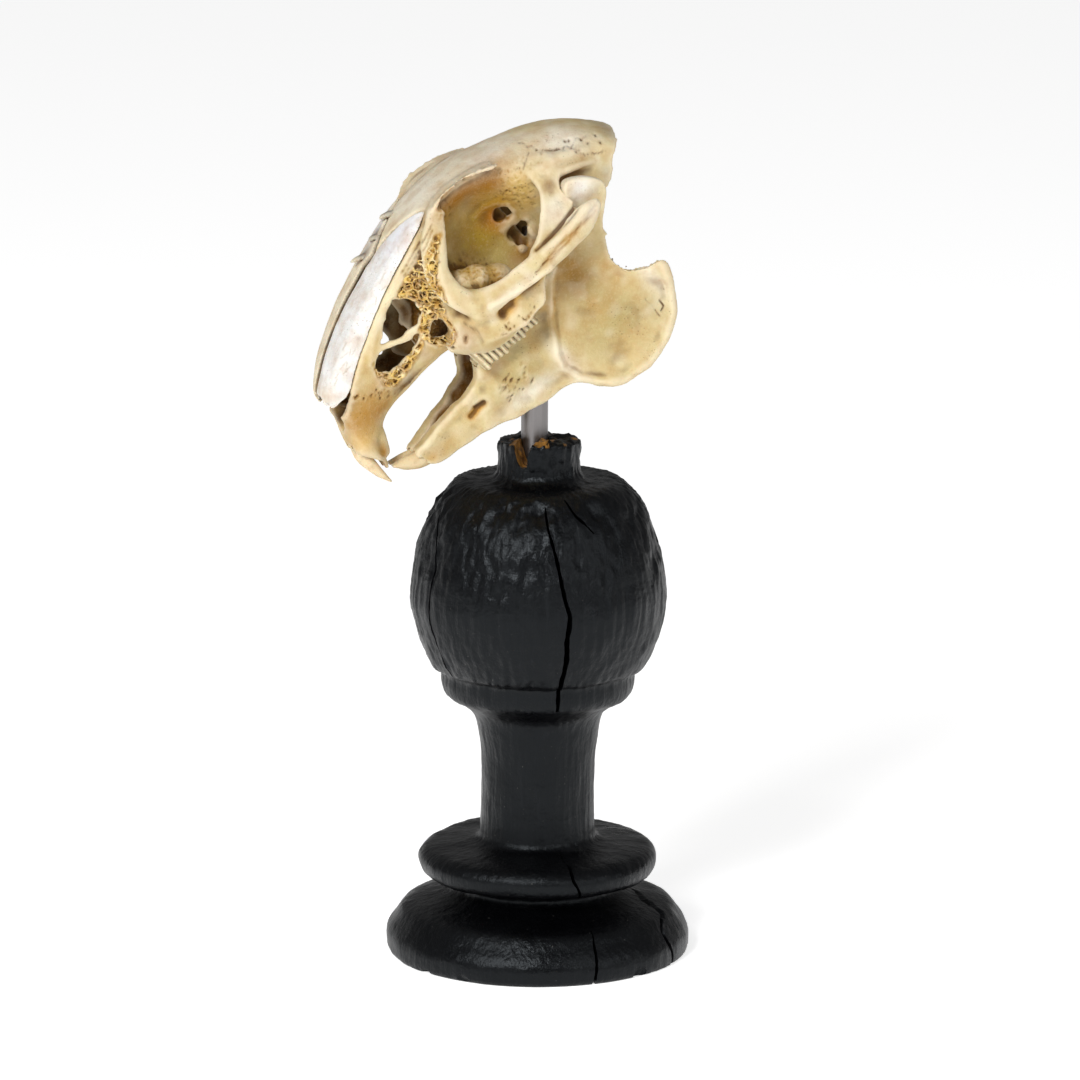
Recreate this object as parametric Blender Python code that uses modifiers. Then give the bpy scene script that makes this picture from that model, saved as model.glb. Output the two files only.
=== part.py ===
"""A rabbit skull carried by a steel rod in an old turned wooden finial.

Metres, +Z up. The origin is the centre of the foot's flat underside. The skull's middle plane is the
XZ plane, its nose points to -X and its left side to -Y. Tables are in millimetres. The bones are
given in the skull's own frame: x back from the tip of the nose, y across, z up from the nose line.
"""

import bmesh
import bpy
from math import cos, pi, radians, sin
from mathutils import Matrix, Vector

MM = 0.001

# Driving dimensions, in millimetres and degrees
FOOT_RADIUS = 34.2
BALL_RADIUS = 28.6
SHAFT_RADIUS = 12.8
STUB_RADIUS = 9.6
STUB_TOP = 117.6
ROD_RADIUS = 3.0
ROD_BOTTOM = 92.0
ROD_TOP = 164.0
ROD_OFFSET = -1.1
FIT_GAP = 0.3
NOSE_TIP = (-51.1, 0.0, 128.2)
SKULL_PITCH = 40.0
BONE_WALL = 1.4
SUTURE_GAP = 0.3

# Triangles that each grown piece is thinned to before its holes are cut
CRANIUM_TRIANGLES = 1900
JAW_TRIANGLES = 520
BONE_VOXEL = 0.6
JAW_VOXEL = 0.7


def clear_scene():
    for item in list(bpy.data.objects):
        bpy.data.objects.remove(item, do_unlink=True)


def new_collection(name):
    group = bpy.data.collections.new(name)
    bpy.context.scene.collection.children.link(group)
    return group


clear_scene()
PARTS = new_collection("rabbit_skull")
CUTTERS = new_collection("cutters")
CUTTERS.hide_render = True


def plain_material(name, colour, roughness, metallic=0.0):
    made = bpy.data.materials.new(name)
    made.use_nodes = True
    shader = made.node_tree.nodes["Principled BSDF"]
    shader.inputs["Base Color"].default_value = (*colour, 1.0)
    shader.inputs["Roughness"].default_value = roughness
    shader.inputs["Metallic"].default_value = metallic
    return made


AGED_BONE = plain_material("aged_bone", (0.62, 0.50, 0.30), 0.55)
PALE_BONE = plain_material("pale_bone", (0.76, 0.73, 0.66), 0.5)
TOOTH = plain_material("tooth_enamel", (0.72, 0.64, 0.44), 0.35)
STEEL = plain_material("plain_steel", (0.36, 0.35, 0.37), 0.38, 1.0)
BLACK_WOOD = plain_material("black_painted_wood", (0.012, 0.012, 0.014), 0.42)


def smooth_through(points, steps, closed=False):
    """Points of a Catmull-Rom curve through the given ones, with steps to each span."""
    points = [Vector(p) for p in points]
    count = len(points)
    spans = count if closed else count - 1
    made = []
    for i in range(spans):
        b, c = points[i], points[(i + 1) % count]
        a = points[i - 1] if closed or i else b * 2 - c
        d = points[(i + 2) % count] if closed or i + 2 < count else c * 2 - b
        slope, bow, twist = c - a, 2 * a - 5 * b + 4 * c - d, 3 * b - a - 3 * c + d
        for step in range(steps):
            t = step / steps
            made.append(b + 0.5 * (slope * t + bow * t**2 + twist * t**3))
    if not closed:
        made.append(points[-1].copy())
    return made


def mesh_object(name, form):
    """An object from a finished bmesh in millimetres, with its faces turned outwards."""
    bmesh.ops.recalc_face_normals(form, faces=form.faces[:])
    if form.calc_volume(signed=True) < 0:
        bmesh.ops.reverse_faces(form, faces=form.faces[:])
    bmesh.ops.scale(form, vec=(MM, MM, MM), verts=form.verts[:])
    mesh = bpy.data.meshes.new(name)
    form.to_mesh(mesh)
    form.free()
    made = bpy.data.objects.new(name, mesh)
    PARTS.objects.link(made)
    return made


def loft(name, rings, along=2, fan=False):
    """A closed skin over rings of points, smooth from ring to ring."""
    columns = [smooth_through(column, along) for column in zip(*rings)]
    form = bmesh.new()
    rows = [[form.verts.new(point) for point in row] for row in zip(*columns)]
    size = len(rows[0])
    for low, high in zip(rows, rows[1:]):
        for i in range(size):
            j = (i + 1) % size
            form.faces.new((low[i], low[j], high[j], high[i]))
    ends = [form.faces.new(rows[0][::-1]), form.faces.new(rows[-1])]
    if fan:
        bmesh.ops.poke(form, faces=ends)
    else:
        bmesh.ops.triangulate(form, faces=ends)
    return mesh_object(name, form)


def strap(name, stations, wide=(0, 0, 1), sides=12, along=2):
    """A flattened bar through stations (x, y, z, half width, half thickness), its width along wide."""
    centres = [Vector(s[:3]) for s in stations]
    rings = []
    for i, (*_, half_width, half_thick) in enumerate(stations):
        path = centres[min(i + 1, len(centres) - 1)] - centres[max(i - 1, 0)]
        across = path.cross(Vector(wide)).normalized()
        broad = across.cross(path).normalized()
        turns = [2 * pi * k / sides for k in range(sides)]
        centre, tall, deep = centres[i], broad * half_width, across * half_thick
        rings.append([centre + tall * cos(t) + deep * sin(t) for t in turns])
    return loft(name, rings, along=along)


def slab(name, outline, y_low, y_high, steps=3):
    """A flat plate: the smooth outline, given as (x, z), from y_low to y_high."""
    edge = smooth_through([(x, 0, z) for x, z in outline], steps, closed=True)
    form = bmesh.new()
    sides = [[form.verts.new((p.x, y, p.z)) for p in edge] for y in (y_low, y_high)]
    size = len(edge)
    for i in range(size):
        j = (i + 1) % size
        form.faces.new((sides[0][i], sides[0][j], sides[1][j], sides[1][i]))
    form.faces.new(sides[0][::-1])
    form.faces.new(sides[1])
    bmesh.ops.triangulate(form, faces=[face for face in form.faces if len(face.verts) > 4])
    return mesh_object(name, form)


def ball(name, centre, radii, tilt=0.0, detail=2):
    form = bmesh.new()
    bmesh.ops.create_icosphere(form, subdivisions=detail, radius=1.0)
    bmesh.ops.scale(form, vec=radii, verts=form.verts[:])
    bmesh.ops.rotate(form, matrix=Matrix.Rotation(radians(tilt), 3, "Y"), verts=form.verts[:])
    bmesh.ops.translate(form, vec=centre, verts=form.verts[:])
    return mesh_object(name, form)


def ball_on_side(name, size, side, detail=2):
    """A ball whose table gives its place on the left."""
    x, y, z = size["centre"]
    return ball(name, (x, -side * y, z), size["radii"], size.get("tilt", 0.0), detail)


def bake(item):
    """Turns an object's modifiers into plain mesh."""
    graph = bpy.context.evaluated_depsgraph_get()
    mesh = bpy.data.meshes.new_from_object(item.evaluated_get(graph))
    item.modifiers.clear()
    item.data = mesh
    return item


def grow_together(name, pieces, voxel, smoothing, triangles):
    """One skin over overlapping solids, softened where they meet and thinned to a count of triangles."""
    whole = bmesh.new()
    for piece in pieces:
        whole.from_mesh(piece.data)
        bpy.data.objects.remove(piece, do_unlink=True)
    mesh = bpy.data.meshes.new(name)
    whole.to_mesh(mesh)
    whole.free()
    made = bpy.data.objects.new(name, mesh)
    PARTS.objects.link(made)
    skin = made.modifiers.new("skin", "REMESH")
    skin.mode = "VOXEL"
    skin.voxel_size = voxel * MM
    soft = made.modifiers.new("soften", "SMOOTH")
    soft.factor = 0.5
    soft.iterations = smoothing
    bake(made)
    thin_to(made, triangles)
    return made


def thin_to(item, triangles):
    item.data.calc_loop_triangles()
    thin = item.modifiers.new("thin", "DECIMATE")
    thin.ratio = triangles / len(item.data.loop_triangles)
    thin.use_collapse_triangulate = True
    bake(item)


def boolean(item, other, operation):
    other.hide_render = True
    other.display_type = "WIRE"
    if other.name not in CUTTERS.objects:
        CUTTERS.objects.link(other)
        PARTS.objects.unlink(other)
    change = item.modifiers.new(operation.lower() + "_" + other.name, "BOOLEAN")
    change.operation = operation
    change.object = other
    change.solver = "EXACT"


def cut(item, *others):
    for other in others:
        boolean(item, other, "DIFFERENCE")


def finish(item, material):
    item.data.materials.clear()
    item.data.materials.append(material)
    item.data.shade_smooth()
    item.data.set_sharp_from_angle(angle=radians(42))


def mirrored(points):
    return [(p[0], -p[1], *p[2:]) for p in points]


# Turned wooden finial: profile of (radius, height), from the top of the drilled stub to the foot
STAND_PROFILE = [
    (0.0, STUB_TOP),
    (STUB_RADIUS - 1.0, STUB_TOP),
    (STUB_RADIUS, STUB_TOP - 1.2),
    (STUB_RADIUS, 108.2),
    (12.5, 107.6),
    (18.6, 107.0),
    (22.4, 103.4),
    (25.4, 97.8),
    (27.6, 90.0),
    (BALL_RADIUS, 82.4),
    (28.0, 76.6),
    (26.3, 71.0),
    (23.6, 65.6),
    (21.7, 64.2),
    (21.4, 61.6),
    (20.4, 59.0),
    (17.2, 57.0),
    (14.6, 54.4),
    (13.4, 49.0),
    (SHAFT_RADIUS, 44.0),
    (SHAFT_RADIUS, 26.6),
    (14.0, 25.2),
    (24.2, 24.0),
    (26.4, 22.4),
    (26.8, 20.2),
    (25.4, 17.8),
    (20.0, 16.6),
    (18.6, 15.0),
    (20.4, 13.4),
    (29.6, 10.4),
    (32.2, 7.4),
    (33.6, 5.4),
    (FOOT_RADIUS, 3.0),
    (33.2, 0.0),
    (0.0, 0.0),
]


# The stub's front left is split away down to the ball's shoulder, and its rear rim is chipped:
# (x, y, z, half width, half thickness) down the split
STUB_SPLIT = [
    (-9.5, -11.0, 121, 6.2, 5.0),
    (-7.6, -9.0, 116, 5.2, 4.2),
    (-6.4, -8.2, 112, 3.6, 3.4),
    (-6.0, -8.4, 109.2, 1.6, 2.0),
]
STUB_CHIP = {"centre": (6.5, 5.5, 118.5), "radii": (4.5, 5.0, 2.6)}
LATHE_STEPS = 28


def turned(name, profile):
    form = bmesh.new()
    line = [form.verts.new((r, 0, z)) for r, z in profile]
    for a, b in zip(line, line[1:]):
        form.edges.new((a, b))
    bmesh.ops.scale(form, vec=(MM, MM, MM), verts=form.verts[:])
    mesh = bpy.data.meshes.new(name)
    form.to_mesh(mesh)
    form.free()
    made = bpy.data.objects.new(name, mesh)
    PARTS.objects.link(made)
    lathe = made.modifiers.new("lathe", "SCREW")
    lathe.steps = LATHE_STEPS
    lathe.render_steps = LATHE_STEPS
    lathe.use_merge_vertices = True
    lathe.merge_threshold = 0.00002
    return made


def rod_solid(name, radius, bottom, top):
    form = bmesh.new()
    length = top - bottom
    bmesh.ops.create_cone(form, cap_ends=True, segments=20, radius1=radius, radius2=radius, depth=length)
    bmesh.ops.translate(form, vec=(ROD_OFFSET, 0, (top + bottom) / 2), verts=form.verts[:])
    return mesh_object(name, form)


def make_stand():
    stand = turned("wooden_stand", STAND_PROFILE)
    cut(stand, rod_solid("rod_bore", ROD_RADIUS + FIT_GAP, ROD_BOTTOM - FIT_GAP, STUB_TOP + 5))
    split = strap("split_in_stub", STUB_SPLIT, wide=(1, 0.2, 0))
    chip = ball("chip_in_stub", STUB_CHIP["centre"], STUB_CHIP["radii"])
    cut(stand, split, chip)
    finish(stand, BLACK_WOOD)


def make_rod():
    rod = rod_solid("steel_rod", ROD_RADIUS, ROD_BOTTOM, ROD_TOP)
    finish(rod, STEEL)


# Braincase and muzzle, as rings from the incisor sockets to past the broken rear: the top and the
# bottom of each ring on the middle plane, then half widths at set shares of the way down
RING_SHARES = (0.03, 0.12, 0.25, 0.4, 0.55, 0.7, 0.85, 0.97)
SKULL_RINGS = [
    ((-1.7, -13.9), (2.4, -20.6), (3.2, 4.3, 4.7, 4.8, 4.8, 4.6, 4.2, 3.2)),
    ((-0.9, -10.6), (3.4, -16.2), (3.0, 4.4, 5.0, 5.2, 5.2, 4.9, 4.4, 3.2)),
    ((0.5, -5.5), (6.0, -14.0), (3.4, 5.0, 5.6, 5.8, 5.7, 5.3, 4.6, 3.2)),
    ((0.0, 0.2), (9.0, -12.5), (3.0, 5.6, 6.1, 6.3, 6.3, 5.8, 4.8, 3.4)),
    ((4.5, 4.4), (13.0, -11.6), (6.0, 7.4, 7.4, 7.3, 7.1, 6.4, 5.2, 3.6)),
    ((10.7, 8.4), (17.0, -11.2), (7.0, 8.8, 8.8, 8.5, 8.2, 7.4, 6.0, 4.2)),
    ((17.6, 11.7), (21.5, -10.6), (7.6, 9.4, 9.5, 9.3, 9.2, 8.4, 7.0, 5.0)),
    ((24.0, 14.0), (26.5, -10.0), (8.0, 9.8, 9.9, 9.8, 10.0, 9.8, 9.0, 6.8)),
    ((30.4, 16.3), (31.0, -9.8), (8.0, 10.2, 10.4, 10.6, 11.2, 11.6, 11.4, 9.4)),
    ((36.2, 18.2), (36.0, -9.6), (7.6, 10.4, 11.2, 11.8, 12.6, 13.0, 12.4, 10.5)),
    ((40.6, 19.3), (40.0, -9.4), (7.6, 10.4, 10.0, 8.2, 7.4, 8.6, 11.0, 10.0)),
    ((46.0, 19.9), (45.0, -9.2), (7.4, 9.0, 6.5, 4.4, 3.8, 4.4, 6.6, 6.0)),
    ((52.5, 19.9), (52.0, -9.0), (7.4, 9.2, 6.2, 4.0, 3.4, 3.6, 4.6, 4.5)),
    ((58.0, 19.3), (58.0, -9.0), (7.0, 9.6, 8.5, 6.6, 5.4, 4.8, 4.6, 4.0)),
    ((63.0, 17.9), (64.0, -9.0), (6.4, 9.8, 11.2, 10.8, 9.4, 7.8, 6.2, 4.5)),
    ((68.0, 16.2), (69.0, -9.2), (6.0, 9.6, 12.0, 12.5, 12.2, 11.0, 8.0, 5.0)),
    ((75.2, 13.2), (74.0, -9.6), (5.6, 9.4, 12.0, 12.7, 12.7, 12.2, 10.0, 6.0)),
    ((81.1, 9.4), (79.0, -10.0), (5.2, 9.2, 12.0, 12.7, 12.7, 12.2, 10.5, 6.0)),
    ((87.0, 3.4), (84.0, -10.0), (4.5, 8.6, 11.2, 12.0, 12.2, 11.8, 10.5, 6.0)),
    ((91.0, -2.0), (88.0, -11.0), (3.0, 5.0, 7.0, 8.0, 8.0, 7.5, 6.5, 4.0)),
]


def ring_points(top, bottom, widths):
    """A ring symmetric about the middle plane."""
    half = []
    for share, width in zip(RING_SHARES, widths):
        half.append((top[0] + (bottom[0] - top[0]) * share, -width, top[1] + (bottom[1] - top[1]) * share))
    right = mirrored(half)[::-1]
    return [(top[0], 0, top[1]), *half, (bottom[0], 0, bottom[1]), *right]


def skull_solid(name, first, last, wall=0.0, floor=0.0, along=2):
    """The stretch of the head from one ring to another, or the hollow inside its wall."""
    rings = []
    for top, bottom, widths in SKULL_RINGS[first:last]:
        length = (Vector(bottom) - Vector(top)).length
        down = (Vector(bottom) - Vector(top)) / length
        inner_top = Vector(top) + down * wall
        inner_bottom = Vector(bottom) - down * floor
        inner = [max(width - wall * 1.1, 0.6) for width in widths]
        rings.append(ring_points(inner_top, inner_bottom, inner))
    return loft(name, rings, along=along, fan=True)


# Straps of bone on the left: (x, y, z, half width, half thickness)
CHEEK_ARCH = [
    (36.0, -12.5, -3.5, 5.5, 2.2),
    (40.0, -16.2, -4.6, 4.6, 2.2),
    (45.0, -18.6, -4.6, 3.4, 1.6),
    (50.0, -19.8, -4.0, 2.9, 1.4),
    (56.0, -20.6, -4.3, 2.9, 1.3),
    (61.0, -21.0, -4.5, 2.6, 1.3),
    (66.0, -21.3, -3.6, 3.2, 1.3),
    (70.0, -21.3, -2.8, 2.5, 1.2),
    (72.8, -21.0, -2.6, 1.1, 0.9),
]
CHEEK_LIP = [
    (33.0, -12.0, -8.6, 3.4, 2.0),
    (37.0, -14.4, -9.8, 3.8, 1.8),
    (41.0, -16.2, -10.4, 3.2, 1.5),
    (45.0, -17.4, -10.6, 2.0, 1.2),
    (49.2, -18.0, -11.0, 0.9, 0.8),
]
CHEEK_BACKING = [
    (36.0, -13.0, -7.4, 4.4, 1.6),
    (43.0, -15.8, -8.0, 3.8, 1.0),
    (49.0, -17.2, -8.2, 1.8, 0.8),
]
ORBIT_FRONT_RIM = [
    (39.6, -16.0, -5.6, 2.4, 1.6),
    (37.8, -16.6, -1.0, 2.6, 1.9),
    (36.3, -16.4, 3.0, 2.1, 1.9),
    (37.3, -15.0, 8.0, 2.0, 2.0),
    (40.6, -13.0, 12.2, 2.0, 2.0),
    (44.8, -11.8, 15.8, 2.0, 1.6),
    (48.0, -11.4, 18.2, 1.8, 1.0),
]
BROW_PLATE = [
    (43.0, -9.4, 17.4, 2.0, 0.8),
    (48.0, -10.0, 18.9, 2.6, 0.8),
    (53.0, -10.4, 18.7, 2.8, 0.8),
    (58.0, -10.6, 17.6, 2.6, 0.8),
    (61.5, -10.4, 16.4, 1.4, 0.6),
]
TOOTH_BED = [
    (28.5, -10.0, -6.4, 2.6, 2.6),
    (31.5, -11.2, -7.2, 3.6, 4.8),
    (36.0, -11.8, -8.6, 4.2, 6.4),
    (41.0, -11.8, -9.0, 4.2, 6.6),
    (45.2, -11.4, -8.6, 3.8, 5.8),
    (48.2, -10.2, -7.8, 2.2, 3.2),
]
CHEEK_LUMP = {"centre": (32.4, -12.6, -8.0), "radii": (3.2, 2.8, 3.2)}
ORBIT_FLOOR = {"centre": (41.5, -10.6, -2.6), "radii": (6.0, 4.2, 5.6)}
GLENOID_SHELF = [
    (66.5, -12.6, 6.4, 1.3, 1.0),
    (70.5, -13.8, 5.9, 1.4, 1.0),
    (74.5, -13.8, 4.4, 1.4, 1.0),
    (78.2, -12.4, 2.2, 1.2, 0.8),
]
WING_PLATE = [
    (48.0, -4.6, -11.0, 3.0, 0.9),
    (53.0, -5.0, -12.0, 3.6, 0.8),
    (58.5, -5.4, -11.4, 2.6, 0.8),
]
# Squamosal process, from the side: (x, z)
SQUAMOSAL_OUTLINE = [
    (66.0, 11.4),
    (64.8, 6.4),
    (62.0, 3.4),
    (59.4, 1.6),
    (56.6, -0.2),
    (53.8, -1.2),
    (54.6, -2.2),
    (60.0, -2.4),
    (64.4, -2.0),
    (67.6, -1.4),
    (68.6, 0.6),
    (68.4, 3.4),
    (71.0, 6.2),
    (72.0, 10.4),
]


def bend_sideways(item, reach):
    """Moves a flat plate's points sideways, by a distance that reach gives for each (x, z)."""
    for vertex in item.data.vertices:
        x, z = vertex.co.x / MM, vertex.co.z / MM
        vertex.co.y += reach(x, z) * MM


def squamosal_plate(side):
    """The process that drops from the braincase to the rear of the cheek arch."""
    plate = slab("squamosal", SQUAMOSAL_OUTLINE, -0.8, 0.8, steps=2)
    bend_sideways(plate, lambda x, z: side * (19.3 - 0.76 * max(0.0, z)))
    return plate


def on_side(stations, side):
    return stations if side < 0 else mirrored(stations)


def make_cranium():
    pieces = [skull_solid("head", 0, len(SKULL_RINGS))]
    for side in (-1, 1):
        for stations in (CHEEK_ARCH, CHEEK_LIP, CHEEK_BACKING, WING_PLATE):
            pieces.append(strap("upright_strap", on_side(stations, side)))
        for stations in (BROW_PLATE, TOOTH_BED, GLENOID_SHELF):
            pieces.append(strap("level_strap", on_side(stations, side), wide=(0, 1, 0)))
        pieces.append(strap("rim", on_side(ORBIT_FRONT_RIM, side), wide=(1, 0, 0)))
        pieces.append(ball_on_side("cheek_lump", CHEEK_LUMP, side))
        pieces.append(ball_on_side("orbit_floor", ORBIT_FLOOR, side))
        pieces.append(squamosal_plate(side))
    return grow_together("cranium", pieces, BONE_VOXEL, 3, CRANIUM_TRIANGLES)


# Lower edge of the nasal bones, from the side (x, z), and the left one from above (x, y)
NASAL_SEAM = [
    (-3.0, -1.7),
    (1.8, -1.8),
    (4.6, -1.5),
    (6.5, -0.5),
    (8.8, 1.5),
    (12.5, 4.3),
    (17.3, 7.1),
    (23.8, 10.5),
    (29.8, 13.1),
    (35.4, 15.1),
    (40.0, 16.7),
    (45.0, 18.6),
]
NASAL_REAR = [
    (30.2, 0.0),
    (33.0, -1.5),
    (37.5, -3.5),
    (42.4, -6.0),
    (43.4, -7.4),
    (42.6, -9.4),
    (41.0, -12.0),
]
NASAL_NOTCH = [(-4.0, -1.6), (2.0, -1.6), (6.4, -0.6), (3.4, -3.4), (2.2, -4.6), (-4.0, -4.6)]
ROOF_THICKNESS = 1.3


def seam_wall(name, spare):
    """All that lies above the nasal bones' lower edge, which spare moves down."""
    outline = [(x, z - spare) for x, z in NASAL_SEAM] + [(45.0, 26.0), (-3.0, 26.0)]
    return slab(name, outline, -14, 14, steps=1)


def from_above(name, outline):
    """An upright block over an outline given from above as (x, y)."""
    rings = [[(x, y, z) for x, y in outline] for z in (-5.0, 24.0)]
    return loft(name, rings, along=1)


def nasal_bone(name, side, hollows):
    """One nasal bone: the muzzle's skin, between its seams and over its hollow."""
    half_gap = SUTURE_GAP / 2
    left = [(x, min(y, -half_gap)) for x, y in NASAL_REAR] + [(-3.0, -12.0), (-3.0, -half_gap)]
    bone = skull_solid(name, 2, 13, along=1)
    plan = from_above(name + "_plan", on_side(left, side))
    seam = seam_wall(name + "_seam", 0.0)
    seat(plan, seam)
    boolean(bone, plan, "INTERSECT")
    boolean(bone, seam, "INTERSECT")
    cut(bone, *hollows)
    return bone


def nasal_room():
    """The space that both nasal bones take in the cranium, with their seams."""
    left = [(x + SUTURE_GAP, min(y + SUTURE_GAP, 0.0)) for x, y in NASAL_REAR]
    room = from_above("nasal_room", [*left, (-4.0, -12.0), (-4.0, 12.0), *mirrored(left)[:0:-1]])
    seam = seam_wall("room_seam", SUTURE_GAP)
    boolean(room, seam, "INTERSECT")
    bake(room)
    seat(room)
    bpy.data.objects.remove(seam, do_unlink=True)
    return room


# Sockets and teeth, on the left: (x, y, z, half width, half thickness)
UPPER_INCISOR = [
    (2.8, -1.65, -9.4, 1.0, 0.9),
    (2.0, -1.65, -10.8, 1.2, 1.2),
    (0.6, -1.6, -13.0, 1.35, 1.35),
    (-0.6, -1.55, -16.8, 1.4, 1.5),
    (-0.4, -1.5, -21.0, 1.35, 1.1),
    (0.3, -1.5, -24.5, 1.3, 0.3),
]
PEG_INCISOR = [
    (4.6, -1.3, -14.6, 0.6, 0.6),
    (2.4, -1.3, -19.6, 0.7, 0.7),
    (1.8, -1.3, -21.8, 0.6, 0.35),
]
LOWER_INCISOR = [
    (17.5, -2.2, -26.6, 1.2, 1.4),
    (12.5, -1.9, -26.4, 1.3, 1.9),
    (8.6, -1.7, -25.6, 1.35, 2.0),
    (5.4, -1.6, -24.0, 1.35, 1.5),
    (2.9, -1.6, -22.4, 1.25, 0.35),
]
# Cheek teeth on the left: x of the first, step between them, faces towards tongue and cheek, ends
UPPER_ROW = {
    "first": 31.8,
    "pitch": 2.6,
    "teeth": 6,
    "inner": -9.6,
    "outer": -13.0,
    "root": -10.0,
    "crown": -17.2,
    "lean": -0.1,
}
LOWER_ROW = {
    "first": 32.6,
    "pitch": 2.9,
    "teeth": 5,
    "inner": -5.2,
    "outer": -8.2,
    "root": -19.5,
    "crown": -14.6,
    "lean": -0.1,
}
RIDGE_DEPTH = 0.7


def tooth(name, stations, side):
    return strap(name, on_side(stations, side), wide=(0, 1, 0), sides=8, along=1)


def socket(name, stations, side):
    """The hole round a tooth, wider by the gap it keeps."""
    return tooth(name, [(*s[:3], s[3] + FIT_GAP, s[4] + FIT_GAP) for s in stations], side)


def upright_loft(name, outline, row, low, high, side):
    """An outline (x, y) carried from one height to another, leaning as the row's teeth do."""
    rings = [[(x + row["lean"] * (z - row["root"]), y, z) for x, y in outline] for z in (low, high)]
    return loft(name, [on_side(ring, side) for ring in rings], along=1)


def tooth_row(name, row, side):
    """Ridged cheek teeth grown side by side."""
    half = row["pitch"] / 2
    cheek, tongue = [], []
    for i in range(row["teeth"]):
        x = row["first"] + i * row["pitch"]
        for shift, depth in ((-0.55, 0.0), (0.55, 0.0), (1.0, RIDGE_DEPTH)):
            cheek.append((x + half * shift, row["outer"] + depth))
            tongue.append((x + half * shift, row["inner"] - depth / 2))
    return upright_loft(name, cheek + tongue[::-1], row, row["root"], row["crown"], side)


def tooth_trench(name, row, side):
    """The plain trench that a row of teeth stands in."""
    start = row["first"] - row["pitch"] / 2 - FIT_GAP
    end = row["first"] + (row["teeth"] - 0.5) * row["pitch"] + FIT_GAP
    outer, inner = row["outer"] - FIT_GAP, row["inner"] + FIT_GAP
    outline = [(start, outer), (end, outer), (end, inner), (start, inner)]
    beyond = FIT_GAP if row["root"] > row["crown"] else -FIT_GAP
    return upright_loft(name, outline, row, row["root"] + beyond, row["crown"] - beyond, side)


# Left half of the jaw with its condyle, from the side: (x, z)
JAW_OUTLINE = [
    (8.2, -23.2),
    (11.0, -22.7),
    (16.5, -21.6),
    (23.5, -20.6),
    (28.2, -19.3),
    (29.8, -17.2),
    (31.2, -15.4),
    (38.0, -15.6),
    (46.5, -15.6),
    (52.0, -11.8),
    (58.0, -7.8),
    (64.0, -4.0),
    (67.2, -1.6),
    (69.2, 1.6),
    (70.4, 3.2),
    (72.6, 2.3),
    (75.0, 0.6),
    (76.7, -1.4),
    (76.0, -3.9),
    (73.4, -6.2),
    (71.0, -9.0),
    (69.0, -12.4),
    (67.4, -16.0),
    (67.2, -18.4),
    (68.0, -20.9),
    (71.9, -23.4),
    (75.8, -24.4),
    (75.2, -28.0),
    (73.4, -32.4),
    (69.8, -36.8),
    (64.8, -39.8),
    (57.9, -41.2),
    (51.4, -40.4),
    (47.6, -37.2),
    (44.4, -33.6),
    (37.5, -33.1),
    (30.1, -31.8),
    (24.9, -30.1),
    (17.4, -29.4),
    (11.4, -28.8),
    (9.4, -27.6),
    (8.0, -25.2),
]
# Where the left jaw's two faces lie: (x, z, outer y, inner y)
JAW_FACES = [
    (8, -25, -3.6, -0.2),
    (14, -24, -4.4, -0.2),
    (14, -28, -4.4, -0.2),
    (20, -22, -5.2, -1.6),
    (20, -28, -5.6, -0.4),
    (26, -21, -6.6, -3.2),
    (26, -29, -7.2, -3.2),
    (32, -17, -8.7, -4.4),
    (32, -24, -9.3, -4.2),
    (32, -31, -8.4, -5.0),
    (39, -17, -9.1, -4.6),
    (39, -24, -10.8, -5.2),
    (39, -32, -9.8, -6.6),
    (46, -17, -9.5, -5.6),
    (46, -26, -12.6, -7.8),
    (46, -36, -12.4, -10.0),
    (52, -14, -12.6, -10.4),
    (54, -24, -13.0, -11.4),
    (54, -32, -13.2, -11.8),
    (52, -40, -14.4, -11.8),
    (60, -9, -14.6, -12.8),
    (60, -20, -14.4, -12.6),
    (62, -30, -13.8, -12.4),
    (60, -40, -15.8, -13.2),
    (67, -4, -15.6, -13.8),
    (67, -14, -15.4, -13.4),
    (72, 1, -17.4, -14.2),
    (74, -4, -17.2, -14.2),
    (70, -28, -15.4, -14.0),
    (70, -36, -16.2, -13.8),
    (75, -26, -17.8, -16.2),
]
# The right jaw's angle stands wider and ends sooner: from this x backwards, and from this z down
SPLAY_START = 46.0
SPLAY_TOP = -6.0
SPLAY_FADE = 12.0
RIGHT_SPLAY = 0.13
RIGHT_SHORTENING = 0.06


def jaw_faces_at(x, z):
    """The outer and inner y of the jaw at a point, weighed from the ones given."""
    total = outer = inner = 0.0
    for px, pz, y_outer, y_inner in JAW_FACES:
        weight = 1 / (((x - px) ** 2 + (z - pz) ** 2) ** 1.6 + 0.5)
        total += weight
        outer += weight * y_outer
        inner += weight * y_inner
    return outer / total, inner / total


def splayed(x, y, z):
    """Where a point of the right jaw goes."""
    behind = max(0.0, x - SPLAY_START) * min(max((SPLAY_TOP - z) / SPLAY_FADE, 0.0), 1.0)
    return x - behind * RIGHT_SHORTENING, y + behind * RIGHT_SPLAY


def make_jaw(name, side):
    half_block = 2.5
    block = slab("block", JAW_OUTLINE, -half_block, half_block)
    jaw = grow_together(name, [block], JAW_VOXEL, 2, 100000)
    for vertex in jaw.data.vertices:
        x, z = vertex.co.x / MM, vertex.co.z / MM
        outer, inner = jaw_faces_at(x, z)
        share = (vertex.co.y / MM + half_block) / (2 * half_block)
        y = -side * (outer + (inner - outer) * min(max(share, 0.0), 1.0))
        if side > 0:
            x, y = splayed(x, y, z)
        vertex.co = Vector((x, y, z)) * MM
    if side > 0:
        jaw.data.flip_normals()
    thin_to(jaw, JAW_TRIANGLES)
    return jaw


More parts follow.
